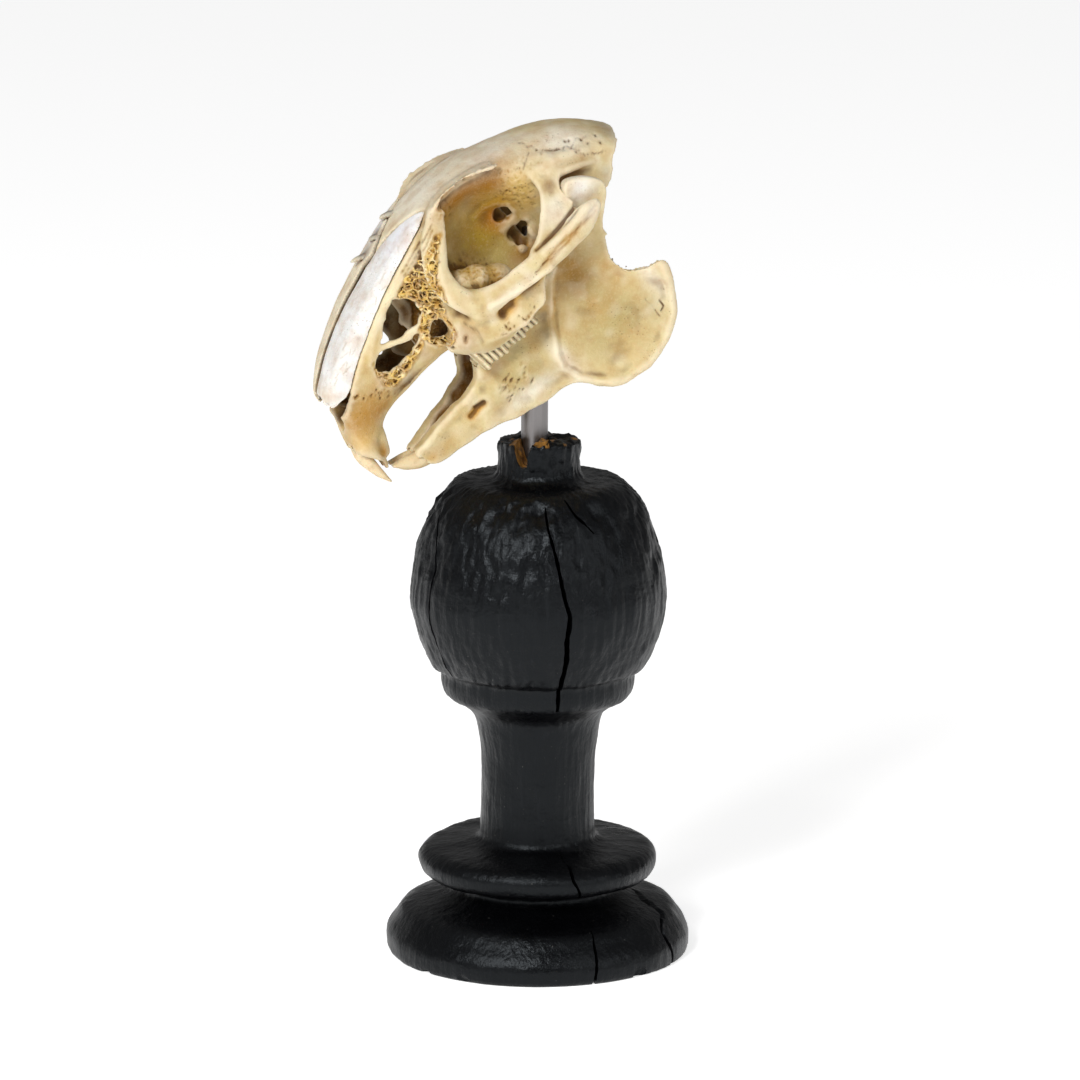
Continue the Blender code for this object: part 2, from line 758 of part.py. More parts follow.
# Openings on the left
NOSTRIL = [
    (-4.0, 0.0, -5.2, 3.4, 4.2),
    (1.0, 0.0, -4.4, 3.8, 4.4),
    (5.0, 0.0, -3.0, 4.6, 4.8),
    (10.0, 0.0, -1.5, 5.4, 6.0),
]
ORBIT_OPENING = {"centre": (57.2, -5.6, -2.6), "radii": (1.7, 4.2, 3.9), "tilt": 40.0}
OPTIC_OPENING = {"centre": (57.0, -4.6, 4.4), "radii": (1.9, 3.6, 1.9)}
UPPER_WINDOW = [
    (17.6, 3.0),
    (20.2, 5.6),
    (22.8, 7.4),
    (25.6, 8.8),
    (27.6, 7.4),
    (29.4, 4.8),
    (28.6, 2.4),
    (26.4, 0.7),
    (22.2, 0.7),
]
LOWER_WINDOW = [
    (14.4, 0.4),
    (13.4, -2.0),
    (15.0, -3.6),
    (18.0, -4.0),
    (21.6, -3.9),
    (24.6, -2.4),
    (25.4, -0.9),
    (21.6, -0.6),
    (17.4, 1.2),
]
CHEEK_PIT = [(26.4, -4.6), (28.6, -1.6), (30.6, -1.2), (30.2, -5.2), (28.4, -6.4)]
BREAK_OUTLINE = [
    (92.0, 6.6),
    (86.6, 2.2),
    (85.8, 1.0),
    (84.4, 0.2),
    (81.3, -2.3),
    (78.0, -5.0),
    (74.3, -7.2),
    (72.4, -9.8),
    (70.0, -16.0),
    (100.0, -24.0),
    (104.0, 10.0),
]
# How much further back the break stands: (y, distance)
BREAK_DEPTHS = [(-20.0, -0.4), (-9.0, 0.0), (-4.0, 1.4), (4.0, 1.4), (9.0, 0.0), (20.0, -0.4)]


def make_hollows():
    """The room inside the muzzle, and the nostrils."""
    return [
        skull_solid("nasal_hollow", 3, 12, wall=ROOF_THICKNESS, floor=2.6, along=1),
        strap("nostril", NOSTRIL, wide=(0, 1, 0)),
    ]


def broken_back():
    """All behind the break, which stands further back over the middle than at the sides."""
    rings = [[(x + further_back, y, z) for x, z in BREAK_OUTLINE] for y, further_back in BREAK_DEPTHS]
    return loft("broken_back", rings, along=1)


def make_cutters():
    """The braincase's hollow and broken back, and the openings in the cranium's sides."""
    cutters = [
        skull_solid("brain_hollow", 13, len(SKULL_RINGS) - 1, wall=BONE_WALL, floor=3.0, along=1),
        broken_back(),
        ball_on_side("orbit_opening", ORBIT_OPENING, -1, detail=1),
        slab("nasal_notch", NASAL_NOTCH, -9, 9, steps=1),
        nasal_room(),
    ]
    for side, word in ((-1, "left"), (1, "right")):
        near, far = sorted((side * 5.5, side * 14))
        shallow, deep = sorted((side * 9.2, side * 14))
        cutters += [
            slab("upper_window_" + word, UPPER_WINDOW, near, far, steps=1),
            slab("lower_window_" + word, LOWER_WINDOW, near, far, steps=1),
            slab("cheek_pit_" + word, CHEEK_PIT, shallow, deep, steps=1),
            ball_on_side("optic_opening_" + word, OPTIC_OPENING, side, detail=1),
        ]
    return cutters


SKULL_SEAT = bpy.data.objects.new("skull_seat", None)
PARTS.objects.link(SKULL_SEAT)
SKULL_SEAT.location = Vector(NOSE_TIP) * MM
SKULL_SEAT.rotation_euler = (0, -radians(SKULL_PITCH), 0)


def seat(*items):
    for item in items:
        item.parent = SKULL_SEAT


make_stand()
make_rod()
cranium = make_cranium()
hollows = make_hollows()
seat(cranium, *hollows)
cut(cranium, *hollows)
for cutter in make_cutters():
    seat(cutter)
    cut(cranium, cutter)
for side, word in ((-1, "left"), (1, "right")):
    nasal = nasal_bone("nasal_bone_" + word, side, hollows)
    jaw = make_jaw("mandible_" + word, side)
    teeth = [
        tooth("upper_incisor_" + word, UPPER_INCISOR, side),
        tooth("peg_incisor_" + word, PEG_INCISOR, side),
        tooth("lower_incisor_" + word, LOWER_INCISOR, side),
        tooth_row("upper_cheek_teeth_" + word, UPPER_ROW, side),
        tooth_row("lower_cheek_teeth_" + word, LOWER_ROW, side),
    ]
    upper_sockets = [
        socket("incisor_socket_" + word, UPPER_INCISOR, side),
        socket("peg_socket_" + word, PEG_INCISOR, side),
        tooth_trench("upper_trench_" + word, UPPER_ROW, side),
    ]
    jaw_sockets = [
        socket("lower_socket_" + word, LOWER_INCISOR, side),
        tooth_trench("lower_trench_" + word, LOWER_ROW, side),
    ]
    cut(cranium, *upper_sockets)
    cut(jaw, *jaw_sockets)
    seat(nasal, jaw, *teeth, *upper_sockets, *jaw_sockets)
    finish(nasal, PALE_BONE)
    finish(jaw, AGED_BONE)
    for row in teeth:
        finish(row, TOOTH)
cut(cranium, rod_solid("rod_hole", ROD_RADIUS + FIT_GAP, 100, ROD_TOP + FIT_GAP))
finish(cranium, AGED_BONE)
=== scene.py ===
import bmesh
import bpy
import numpy as np
from math import cos, pi, radians, sin
from mathutils import Matrix, Vector, noise
from random import Random
from mathutils.bvhtree import BVHTree
from mathutils.geometry import delaunay_2d_cdt


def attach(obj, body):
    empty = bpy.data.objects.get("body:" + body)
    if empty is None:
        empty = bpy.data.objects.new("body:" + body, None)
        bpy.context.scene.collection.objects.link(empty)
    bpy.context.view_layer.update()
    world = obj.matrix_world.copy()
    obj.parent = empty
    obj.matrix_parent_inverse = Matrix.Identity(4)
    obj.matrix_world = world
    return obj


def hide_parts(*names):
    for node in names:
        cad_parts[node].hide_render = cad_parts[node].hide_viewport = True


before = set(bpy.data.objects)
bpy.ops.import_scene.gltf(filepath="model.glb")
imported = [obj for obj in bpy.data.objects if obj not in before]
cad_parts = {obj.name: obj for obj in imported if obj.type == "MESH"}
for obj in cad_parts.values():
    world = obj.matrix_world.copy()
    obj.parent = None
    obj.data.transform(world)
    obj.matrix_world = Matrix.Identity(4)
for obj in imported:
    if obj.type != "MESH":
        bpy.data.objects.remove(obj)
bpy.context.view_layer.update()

bpy.ops.object.select_all(action="DESELECT")


# Turned wooden finial: one piece of old hardwood, shaped on a lathe, then knocked about and split by
# drying. The ball's shoulder is hacked, the stub that takes the rod has lost its front left side, and
# all but the fresh breaks is under a thin coat of satin black paint, put on with a brush.
MM = 0.001
STAND_PROFILE = [
    (0, 117.6), (8.6, 117.6), (9.6, 116.4), (9.6, 109.2), (10.2, 108.2), (12.5, 107.6),
    (18.6, 107), (22.4, 103.4), (25.4, 97.8), (27.6, 90), (28.6, 82.4), (28, 76.6), (26.3, 71),
    (23.6, 65.6), (21.7, 64.4), (21.5, 61.6), (20.5, 59), (17.2, 57), (14.6, 54.4), (13.4, 49),
    (12.8, 44), (12.8, 26.8), (14, 25.2), (24.2, 24), (26.4, 22.4), (26.8, 20.2), (25.4, 17.8),
    (20, 16.6), (18.6, 15), (20.4, 13.4), (29.6, 10.4), (32, 7.6), (33.6, 5.2), (34.1, 3),
    (33.2, 0), (0, 0),
]
PROFILE_SPACING = 0.85
LATHE_STEPS = 360
BORE_RADIUS = 3.3
ROD_OFFSET = -1.1
BORE_BOTTOM = 91.7
# Drying cracks: depth, then (azimuth in degrees, height, half width)
CRACKS = [
    (5, [(-105, 105.5, 0.15), (-104, 101, 0.3), (-102, 97.8, 0.35), (-100, 94, 0.4), (-98, 88.5, 0.45),
         (-96, 84, 0.4)]),
    (7, [(-96, 84.6, 0.4), (-95, 81.8, 0.5), (-96, 77.2, 0.6), (-95.5, 72.4, 0.6), (-97, 65.9, 0.55),
         (-97.5, 59.5, 0.35)]),
    (2.5, [(-92, 106.6, 0.15), (-88, 103.7, 0.3), (-83, 101.6, 0.25), (-79, 99.6, 0.1)]),
    (2.5, [(-179, 103, 0.1), (-172, 98.2, 0.25), (-166, 90, 0.3), (-166, 80, 0.3), (-164, 72, 0.25),
           (-162, 65, 0.1)]),
    (3, [(-86, 25.6, 0.1), (-90, 24.4, 0.3), (-91.5, 22.3, 0.4), (-88.5, 19.4, 0.3), (-87, 17, 0.1)]),
    (4.5, [(-16, 12.9, 0.2), (-30, 12, 0.4), (-37, 11.1, 0.5), (-42, 9.6, 0.5)]),
    (4.5, [(-43, 9.8, 0.4), (-48, 8.1, 0.5), (-48.5, 5.4, 0.6), (-47, 3, 0.6), (-46, -1, 0.8)]),
    (3, [(-84, 10.8, 0.1), (-85, 9, 0.25), (-85.5, 6.5, 0.3), (-86, 4, 0.35), (-87, -1, 0.5)]),
    (3, [(60, 104, 0.1), (62, 96, 0.35), (58, 88, 0.4), (60, 80, 0.3), (63, 73, 0.1)]),
    (3, [(120, 11.5, 0.1), (124, 8, 0.3), (122, 4, 0.4), (124, -1, 0.5)]),
]
# The split that opens the stub's front left, seen along its own bearing: (to the right, height)
SPLIT_BEARING = -128
STUB_SPLIT = [
    (-3.7, 121), (-3.3, 117.4), (-2.4, 114.4), (-0.7, 111.4), (0.5, 112.8), (1.1, 116), (2.2, 118.4),
    (2.6, 121),
]
# Chips out of the stub and the foot: centre, radii
CHIPS = [
    ((6.6, 5.4, 118.4), (4.2, 4.8, 2.4)), ((7.6, -5.2, 118.6), (2.6, 2.2, 2)),
    ((-2.6, -8.2, 119), (2.6, 2.4, 2.6)), ((-31.8, -14, -0.6), (3.2, 2.2, 1.5)),
    ((13.6, -31.2, 0.2), (2, 1.4, 1.9)), ((-26.5, -24, 0.4), (2.4, 2.4, 1.6)),
]
BLUISH = (0.86, 0.94, 1, 1)
SATIN_BLACK, WORN_EDGE, DUST, RAW_WOOD, OLD_DIRT = "#020203", "#0b0b0e", "#5c5a56", "#c08a42", "#33200e"


def linear(colour):
    """A colour written as sRGB hex, in the linear values that a shader takes."""
    parts = [int(colour[i:i + 2], 16) / 255 for i in (1, 3, 5)]
    return [c / 12.92 if c <= 0.04045 else ((c + 0.055) / 1.055) ** 2.4 for c in parts]


def new_material(name, **sockets):
    """A material whose Principled shader has the given socket values."""
    made = bpy.data.materials.new(name)
    made.use_nodes = True
    for socket, value in sockets.items():
        made.node_tree.nodes["Principled BSDF"].inputs[socket.replace("_", " ")].default_value = value
    return made


def add_node(material, kind, settings, links):
    """Adds a node, sets its fields and its sockets, and links its inputs to other nodes' outputs."""
    tree = material.node_tree
    node = tree.nodes.new("ShaderNode" + kind)
    for key, value in settings.items():
        if isinstance(key, int) or key in node.inputs:
            node.inputs[key].default_value = value
        else:
            setattr(node, key, value)
    for key, source in links.items():
        tree.links.new(source, node.inputs[key])
    return node


def blend_colours(material, share, first, second):
    """The second colour over the first by a share; either is a hex colour or another node's output."""
    settings, links = {"data_type": "RGBA"}, {0: share}
    for socket, colour in ((6, first), (7, second)):
        if isinstance(colour, str):
            settings[socket] = (*linear(colour), 1)
        else:
            links[socket] = colour
    return add_node(material, "Mix", settings, links).outputs[2]


def read_attribute(material, name, output="Fac"):
    return add_node(material, "Attribute", {"attribute_name": name}, {}).outputs[output]


def object_places(material, stretch=(1, 1, 1)):
    """Places on the piece, in metres; a small scale draws the pattern out along that axis."""
    where = add_node(material, "TexCoord", {}, {}).outputs["Object"]
    return add_node(material, "Mapping", {"Scale": stretch}, {"Vector": where}).outputs[0]


def pattern(material, kind, size, where, **settings):
    """A noise or cell pattern of a feature size in millimetres."""
    settings["Scale"] = 1 / (size * MM)
    return add_node(material, "Tex" + kind, settings, {"Vector": where}).outputs[0]


def ramp(material, source, low, high, start=0, end=1):
    """A value that goes from start to end as the source goes from low to high."""
    return add_node(material, "MapRange", {1: low, 2: high, 3: start, 4: end}, {0: source}).outputs[0]


def connect(material, colour, roughness, bumps):
    """Feeds the shader; each bump is a height, its strength and its distance in millimetres."""
    below = {}
    for height, strength, distance in bumps:
        links = {"Height": height, **below}
        settings = {"Strength": strength, "Distance": distance * MM}
        below = {"Normal": add_node(material, "Bump", settings, links).outputs[0]}
    shader = material.node_tree.nodes["Principled BSDF"]
    for socket, source in {"Base Color": colour, "Roughness": roughness, **below}.items():
        material.node_tree.links.new(source, shader.inputs[socket])


def hand_over(item, material, slot, *nodes):
    """Gives a finished piece its material, and has it ride in its nodes' place."""
    item.data.materials.clear()
    item.data.materials.append(material)
    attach(item, "root")
    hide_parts(*nodes)


def smooth_through(points, steps, closed=False):
    """Points of a smooth curve through the given ones: a count for each span, or a spacing if not whole."""
    points = [Vector(p) for p in points]
    count = len(points)
    made = []
    for i in range(count if closed else count - 1):
        b, c = points[i], points[(i + 1) % count]
        a = points[i - 1] if closed or i else b * 2 - c
        d = points[(i + 2) % count] if closed or i + 2 < count else c * 2 - b
        span = (c - b).length
        leave, arrive = (c - a).normalized() * span, (d - b).normalized() * span
        number = steps if isinstance(steps, int) else max(1, round(span / steps))
        for t in (k / number for k in range(number)):
            curve = b + leave * t + (3 * (c - b) - 2 * leave - arrive) * t**2
            made.append(curve + (2 * (b - c) + leave + arrive) * t**3)
    return made if closed else made + [points[-1].copy()]


def mesh_object(name, points, edges=(), faces=()):
    mesh = bpy.data.meshes.new(name)
    mesh.from_pydata([tuple(p) for p in points], list(edges), list(faces))
    made = bpy.data.objects.new(name, mesh)
    bpy.context.scene.collection.objects.link(made)
    return made


def work_on(item, *others):
    """Selects the given objects alone and makes the first one active."""
    bpy.ops.object.select_all(action="DESELECT")
    for one in (item, *others):
        one.select_set(True)
    bpy.context.view_layer.objects.active = item


def apply_modifier(item, kind, **settings):
    work_on(item)
    modifier = item.modifiers.new(kind.lower(), kind)
    for key, value in settings.items():
        setattr(modifier, key, value)
    bpy.ops.object.modifier_apply(modifier=modifier.name)


def places_of(item, field="co"):
    values = np.empty(len(item.data.vertices) * 3)
    item.data.vertices.foreach_get(field, values)
    return values.reshape(-1, 3)


def normals_of(item):
    return places_of(item, "normal")


def put_places(item, places):
    item.data.vertices.foreach_set("co", places.ravel())
    item.data.update()


def clamp(values):
    return np.clip(values, 0, 1)


def lumps(places, size, seed=0):
    """Smooth noise from -1 to 1 at each place, with lumps of a size in millimetres."""
    return np.array([noise.noise(p) for p in (places / size + seed).tolist()])


def cells(places, size, seed=0):
    """Distances from each place to the two nearest of scattered points, in cell sizes."""
    return np.array([noise.voronoi(p)[0][:2] for p in (places / size + seed).tolist()]).T


def distance_to(line, flat):
    """How far flat points lie from a line through the given ones."""
    nearest = np.full(len(flat), 1e9)
    for start, end in zip(line, line[1:]):
        start, along = np.array(start, float), np.subtract(end, start)
        share = clamp((flat - start) @ along / (along @ along))
        nearest = np.minimum(nearest, np.linalg.norm(flat - start - share[:, None] * along, axis=1))
    return nearest


def store(item, name, values):
    """Keeps a number or a colour for each vertex, for the material to read."""
    colour = values.ndim == 2
    layer = item.data.attributes.new(name, "FLOAT_COLOR" if colour else "FLOAT", "POINT")
    if colour:
        values = np.column_stack([values, np.ones(len(values))])
    layer.data.foreach_set("color" if colour else "value", values.ravel())


def loft(name, rings, along, fan=False):
    """A closed skin over rings of points, smooth from ring to ring."""
    rows = list(zip(*[smooth_through(column, along) for column in zip(*rings)]))
    size = len(rows[0])
    form = bmesh.new()
    corners = [[form.verts.new(p) for p in row] for row in rows]
    for low, high in zip(corners, corners[1:]):
        for i in range(size):
            j = (i + 1) % size
            form.faces.new((low[i], low[j], high[j], high[i]))
    ends = [form.faces.new(corners[0][::-1]), form.faces.new(corners[-1])]
    if fan:
        bmesh.ops.poke(form, faces=ends)
    else:
        bmesh.ops.triangulate(form, faces=ends)
    made = mesh_object(name, [])
    form.to_mesh(made.data)
    form.free()
    turn_outwards(made)
    return made


def turn_outwards(item):
    form = bmesh.new()
    form.from_mesh(item.data)
    bmesh.ops.recalc_face_normals(form, faces=form.faces[:])
    if form.calc_volume(signed=True) < 0:
        bmesh.ops.reverse_faces(form, faces=form.faces[:])
    form.to_mesh(item.data)
    form.free()


def strap(name, stations, wide=(0, 0, 1), sides=16, along=4):
    """A flattened bar through stations (x, y, z, half width, half thickness), its width along wide."""
    centres = [Vector(s[:3]) for s in stations]
    rings = []
    for i, (*_, half_width, half_thick) in enumerate(stations):
        path = centres[min(i + 1, len(centres) - 1)] - centres[max(i - 1, 0)]
        across = path.cross(Vector(wide)).normalized()
        tall, deep = across.cross(path).normalized() * half_width, across * half_thick
        turns = [2 * pi * k / sides for k in range(sides)]
        rings.append([centres[i] + tall * cos(t) + deep * sin(t) for t in turns])
    return loft(name, rings, along, fan=True)


def cut_away(item, *cutters):
    for cutter in cutters:
        apply_modifier(item, "BOOLEAN", operation="DIFFERENCE", object=cutter, solver="MANIFOLD")
        bpy.data.objects.remove(cutter, do_unlink=True)


def roughen(item, size, height, seed):
    push = lumps(places_of(item), size, seed) * height
    put_places(item, places_of(item) + normals_of(item) * push[:, None])
    return item


def shaped(name):
    """The primitive just added, in its place, with its turn and scale applied."""
    made = bpy.context.object
    made.name = made.data.name = name
    bpy.ops.object.transform_apply(location=True, rotation=True, scale=True)
    return made


def ball(name, centre, radii, tilt=0, side=-1, detail=3):
    """A ball whose place is given on the left."""
    x, y, z = centre
    place, turn = (x, -side * y, z), (0, radians(tilt), 0)
    bpy.ops.mesh.primitive_ico_sphere_add(subdivisions=detail, location=place, rotation=turn, scale=radii)
    return shaped(name)


def upright_bar(name, radius, bottom, top, sides=64):
    """A round bar on the rod's own line."""
    middle = (ROD_OFFSET, 0, (bottom + top) / 2)
    bpy.ops.mesh.primitive_cylinder_add(vertices=sides, radius=radius, depth=top - bottom, location=middle)
    return shaped(name)


profile = smooth_through([(r, 0, z) for r, z in STAND_PROFILE], PROFILE_SPACING)
links = [(i, i + 1) for i in range(len(profile) - 1)]
stand = mesh_object("painted_wooden_finial", [(max(p.x, 0), 0, p.z) for p in profile], links)
work_on(stand)
bpy.ops.object.mode_set(mode="EDIT")
bpy.ops.mesh.select_all(action="SELECT")
bpy.ops.mesh.spin(steps=LATHE_STEPS, angle=2 * pi, center=(0, 0, 0), axis=(0, 0, 1))
bpy.ops.mesh.select_all(action="SELECT")
bpy.ops.mesh.remove_doubles(threshold=0.002)
bpy.ops.mesh.normals_make_consistent(inside=False)
bpy.ops.object.mode_set(mode="OBJECT")
turn_outwards(stand)

places, normals = places_of(stand), normals_of(stand)
radius, height = np.hypot(places[:, 0], places[:, 1]), places[:, 2]
ball_top = clamp((height - 84) / 18) * clamp((108.3 - height) / 2)
on_ball = clamp((height - 60) / 6) * clamp((109 - height) / 2)
on_stub = clamp((height - 108) / 2)
push = 0.40 * lumps(places, 13, 3.1) + 0.14 * lumps(places, 4, 7.7)
push += (0.08 + 0.20 * on_ball) * lumps(places, np.array([1.3, 1.3, 16]), 2.3)
push += (0.05 + 0.14 * ball_top) * lumps(places, np.array([0.8, 0.8, 5]), 5.9)
push += (0.03 + 0.09 * on_ball) * lumps(places, 0.8, 15.9)
push += 0.05 * lumps(places, np.array([20, 20, 0.9]), 9.1)
hacked = clamp(0.45 + lumps(places, 9, 12) * 1.6) * ball_top
push -= hacked * 2.0 * clamp(0.75 - cells(places, np.array([5, 5, 7]), 1.4)[0])
push -= hacked * 1.1 * clamp(0.75 - cells(places, np.array([2.4, 2.4, 3.6]), 6.2)[0])
push -= on_stub * 0.9 * clamp(cells(places, np.array([2.2, 2.2, 3.6]), 8.2)[0])
push *= clamp(height / 0.4)
places += normals * push[:, None]
ragged = 0.9 * lumps(places, 3.2, 44) + 0.35 * lumps(places, 1.1, 48) - 0.5
places[:, 2] += clamp(height - 116) * ragged
places[:, 2] = np.maximum(places[:, 2], 0)
put_places(stand, places)
cut_away(stand, upright_bar("bore", BORE_RADIUS, BORE_BOTTOM, BORE_BOTTOM + 40))
outline = sorted((z, r) for r, z in STAND_PROFILE[5:-1])
for depth, path in CRACKS:
    blade = []
    for turn, z, half_width in path:
        reach = np.interp(z, *zip(*outline))
        blade.append((reach * cos(radians(turn)), reach * sin(radians(turn)), z, depth, half_width))
    middle = radians(sum(turn for turn, *_ in path) / len(path))
    blade = strap("crack", blade, wide=(cos(middle), sin(middle), 0), sides=24, along=12)
    cut_away(stand, roughen(blade, 1.6, 0.16, depth))

bearing = Vector((cos(radians(SPLIT_BEARING)), sin(radians(SPLIT_BEARING)), 0))
aside = Vector((bearing.y, -bearing.x, 0)) * -1
edge = smooth_through([(t, 0, z) for t, z in STUB_SPLIT], 0.5, closed=True)
rings = [[bearing * reach + aside * p.x + Vector((0, 0, p.z)) for p in edge] for reach in (13, 1)]
cut_away(stand, roughen(loft("split", rings, 24), np.array([1.2, 1.2, 3]), 0.5, 6))
for centre, radii in CHIPS:
    cut_away(stand, roughen(ball("chip", centre, radii, detail=4), 1.2, 0.5, 4))

# Where the paint is gone: the fresh break in the stub and the rubbed edges of its top
places = places_of(stand)
ahead, across = places @ np.array(bearing), places @ np.array(aside)
reach = np.hypot(places[:, 0], places[:, 1])
raw = (np.abs(across) < 4.2) & (ahead > 1) & (reach < 8.9) & (places[:, 2] > 111.4)
raw |= (reach < 9.3) & (reach > 3.6) & (places[:, 2] > 116.2) & (lumps(places, 2.2, 71) > 0.30)
store(stand, "raw_wood", raw * clamp(0.75 + 0.9 * lumps(places, np.array([0.8, 0.8, 3]), 5)))
stand.data.transform(Matrix.Scale(MM, 4))
work_on(stand)
bpy.ops.object.shade_smooth_by_angle(angle=radians(50))

# Satin oil paint on wood: black, a little blue in its highlights, with dust in its grain
paint = new_material("satin_black_oil_paint", IOR=1.5, Specular_IOR_Level=0.2, Specular_Tint=BLUISH)
where, upright = object_places(paint), object_places(paint, (1, 1, 0.09))
grain = pattern(paint, "Noise", 0.9, upright, Detail=6, Roughness=0.65)
coat = pattern(paint, "Noise", 1.5, where, Detail=2.5, Roughness=0.6)
flow = pattern(paint, "Noise", 14, where, Detail=3)
specks = pattern(paint, "Noise", 0.55, where, Detail=2)
scoring = pattern(paint, "Noise", 1.1, object_places(paint, (0.05, 0.05, 1)), Detail=3)
pits = pattern(paint, "Voronoi", 1.7, upright)
colour = blend_colours(paint, ramp(paint, grain, 0.56, 0.74), SATIN_BLACK, WORN_EDGE)
colour = blend_colours(paint, ramp(paint, specks, 0.74, 0.80), colour, DUST)
wood_tone = blend_colours(paint, grain, OLD_DIRT, RAW_WOOD)
colour = blend_colours(paint, read_attribute(paint, "raw_wood"), colour, wood_tone)
gloss = ramp(paint, flow, 0.35, 0.65, 0.26, 0.42)
bumps = [(coat, 0.8, 0.22), (grain, 0.8, 0.22), (scoring, 0.3, 0.1), (pits, 0.3, 0.15)]
connect(paint, colour, gloss, bumps)
hand_over(stand, paint, "black_wood", "wooden_stand")


# Steel rod: a plain drawn bar, 6 mm thick. It is glued into the finial's stub and runs up into the
# base of the skull, which it carries.
ROD_RADIUS, ROD_BOTTOM, ROD_TOP = 3, 92, 164.0
STEEL, STEEL_SHADE = "#8f8c8c", "#7a7675"
rod = upright_bar("drawn_steel_rod", ROD_RADIUS, ROD_BOTTOM, ROD_TOP)
apply_modifier(rod, "BEVEL", width=0.35, segments=3, limit_method="ANGLE")
rod.data.transform(Matrix.Scale(MM, 4))
work_on(rod)
bpy.ops.object.shade_smooth_by_angle(angle=radians(35))
# Mild steel, cold drawn: fine lines along the bar, a soft grey sheen
steel = new_material("cold_drawn_steel", Metallic=1)
lines = pattern(steel, "Noise", 0.35, object_places(steel, (1, 1, 0.02)), Detail=4)
colour = blend_colours(steel, lines, STEEL_SHADE, STEEL)
connect(steel, colour, ramp(steel, lines, 0, 1, 0.34, 0.46), [(lines, 0.15, 0.05)])
hand_over(rod, steel, "steel", "steel_rod")


# Cranium: the fused bones of a large rabbit's head, dry and yellowed by age, grown as one piece. Its
# back is broken off, so the empty braincase stands open. Tables are in millimetres in the skull's own
# frame: x back from the tip of the nose, y to the right, z up from the nose line.
NOSE_TIP = (-51.1, 0, 128.2)
SKULL_PITCH = 40.0
SKULL_IN_MM = Matrix.Translation(NOSE_TIP) @ Matrix.Rotation(-radians(SKULL_PITCH), 4, "Y")
SKULL_SEAT = Matrix.Scale(MM, 4) @ SKULL_IN_MM
RING_SHARES = (0.03, 0.12, 0.25, 0.4, 0.55, 0.7, 0.85, 0.97)
SKULL_RINGS = [
    ((-1.7, -13.9), (2.4, -20.6), (3.2, 4.3, 4.7, 4.8, 4.8, 4.6, 4.2, 3.2)),
    ((-0.9, -10.6), (3.4, -16.2), (3, 4.4, 5, 5.2, 5.2, 4.9, 4.4, 3.2)),
    ((0.5, -5.5), (6, -14), (3.4, 5, 5.6, 5.8, 5.7, 5.3, 4.6, 3.2)),
    ((0, 0.2), (9, -12.5), (3, 5.6, 6.1, 6.3, 6.3, 5.8, 4.8, 3.4)),
    ((4.5, 4.4), (13, -11.6), (6, 7.4, 7.4, 7.3, 7.1, 6.4, 5.2, 3.6)),
    ((10.7, 8.4), (17, -11.2), (7, 8.8, 8.8, 8.5, 8.2, 7.4, 6, 4.2)),
    ((17.6, 11.7), (21.5, -10.6), (7.6, 9.4, 9.5, 9.3, 9.2, 8.4, 7, 5)),
    ((24, 14), (26.5, -10), (8, 9.8, 9.9, 9.8, 10, 9.8, 9, 6.8)),
    ((30.4, 16.3), (31, -9.8), (8, 10.2, 10.4, 10.6, 11.2, 11.6, 11.4, 9.4)),
    ((36.2, 18.2), (36, -9.6), (7.6, 10.4, 11.2, 11.8, 12.6, 13, 12.4, 10.5)),
    ((40.6, 19.3), (40, -9.4), (7.6, 10.4, 10, 8.2, 7.4, 8.6, 11, 10)),
    ((46, 19.9), (45, -9.2), (7.4, 9, 6.5, 4.4, 3.8, 4.4, 6.6, 6)),
    ((52.5, 19.9), (52, -9), (7.4, 9.2, 6.2, 4, 3.4, 3.6, 4.6, 4.5)),
    ((58, 19.3), (58, -9), (7, 9.6, 8.5, 6.6, 5.4, 4.8, 4.6, 4)),
    ((63, 17.9), (64, -9), (6.4, 9.8, 11.2, 10.8, 9.4, 7.8, 6.2, 4.5)),
    ((68, 16.2), (69, -9.2), (6, 9.6, 12, 12.5, 12.2, 11, 8, 5)),
    ((75.2, 13.2), (74, -9.6), (5.6, 9.4, 12, 12.7, 12.7, 12.2, 10, 6)),
    ((81.1, 9.4), (79, -10), (5.2, 9.2, 12, 12.7, 12.7, 12.2, 10.5, 6)),
    ((87, 3.4), (84, -10), (4.5, 8.6, 11.2, 12, 12.2, 11.8, 10.5, 6)),
    ((91, -2), (88, -11), (3, 5, 7, 8, 8, 7.5, 6.5, 4)),
]
# Straps of bone on the left: (x, y, z, half width, half thickness)
UPRIGHT_STRAPS = {
    "cheek_arch": [
        (36, -12.5, -3.5, 5.5, 2.2), (40, -16.2, -4.6, 4.6, 2.2), (45, -18.6, -4.6, 3.4, 1.6),
        (50, -19.8, -4, 2.9, 1.4), (56, -20.6, -4.3, 2.9, 1.3), (61, -21, -4.5, 2.6, 1.3),
        (66, -21.3, -3.6, 3.2, 1.3), (70, -21.3, -2.8, 2.5, 1.2), (72.8, -21, -2.6, 1.1, 0.9),
    ],
    "cheek_lip": [
        (33, -12, -8.6, 3.4, 2), (37, -14.4, -9.8, 3.8, 1.8), (41, -16.2, -10.4, 3.2, 1.5),
        (45, -17.4, -10.6, 2, 1.2), (49.2, -18, -11, 0.9, 0.8),
    ],
    "cheek_backing": [(36, -13, -7.4, 4.4, 1.6), (43, -15.8, -8, 3.8, 1), (49, -17.2, -8.2, 1.8, 0.8)],
    "peg_bed": [
        (5.4, -1.6, -11.5, 2.2, 2.2), (3.9, -1.6, -15.8, 2.3, 1.9), (2.6, -1.5, -19.4, 1.9, 1.6),
    ],
    "wing": [(48, -4.6, -11, 3, 0.9), (53, -5, -12, 3.6, 0.8), (58.5, -5.4, -11.4, 2.6, 0.8)],
}
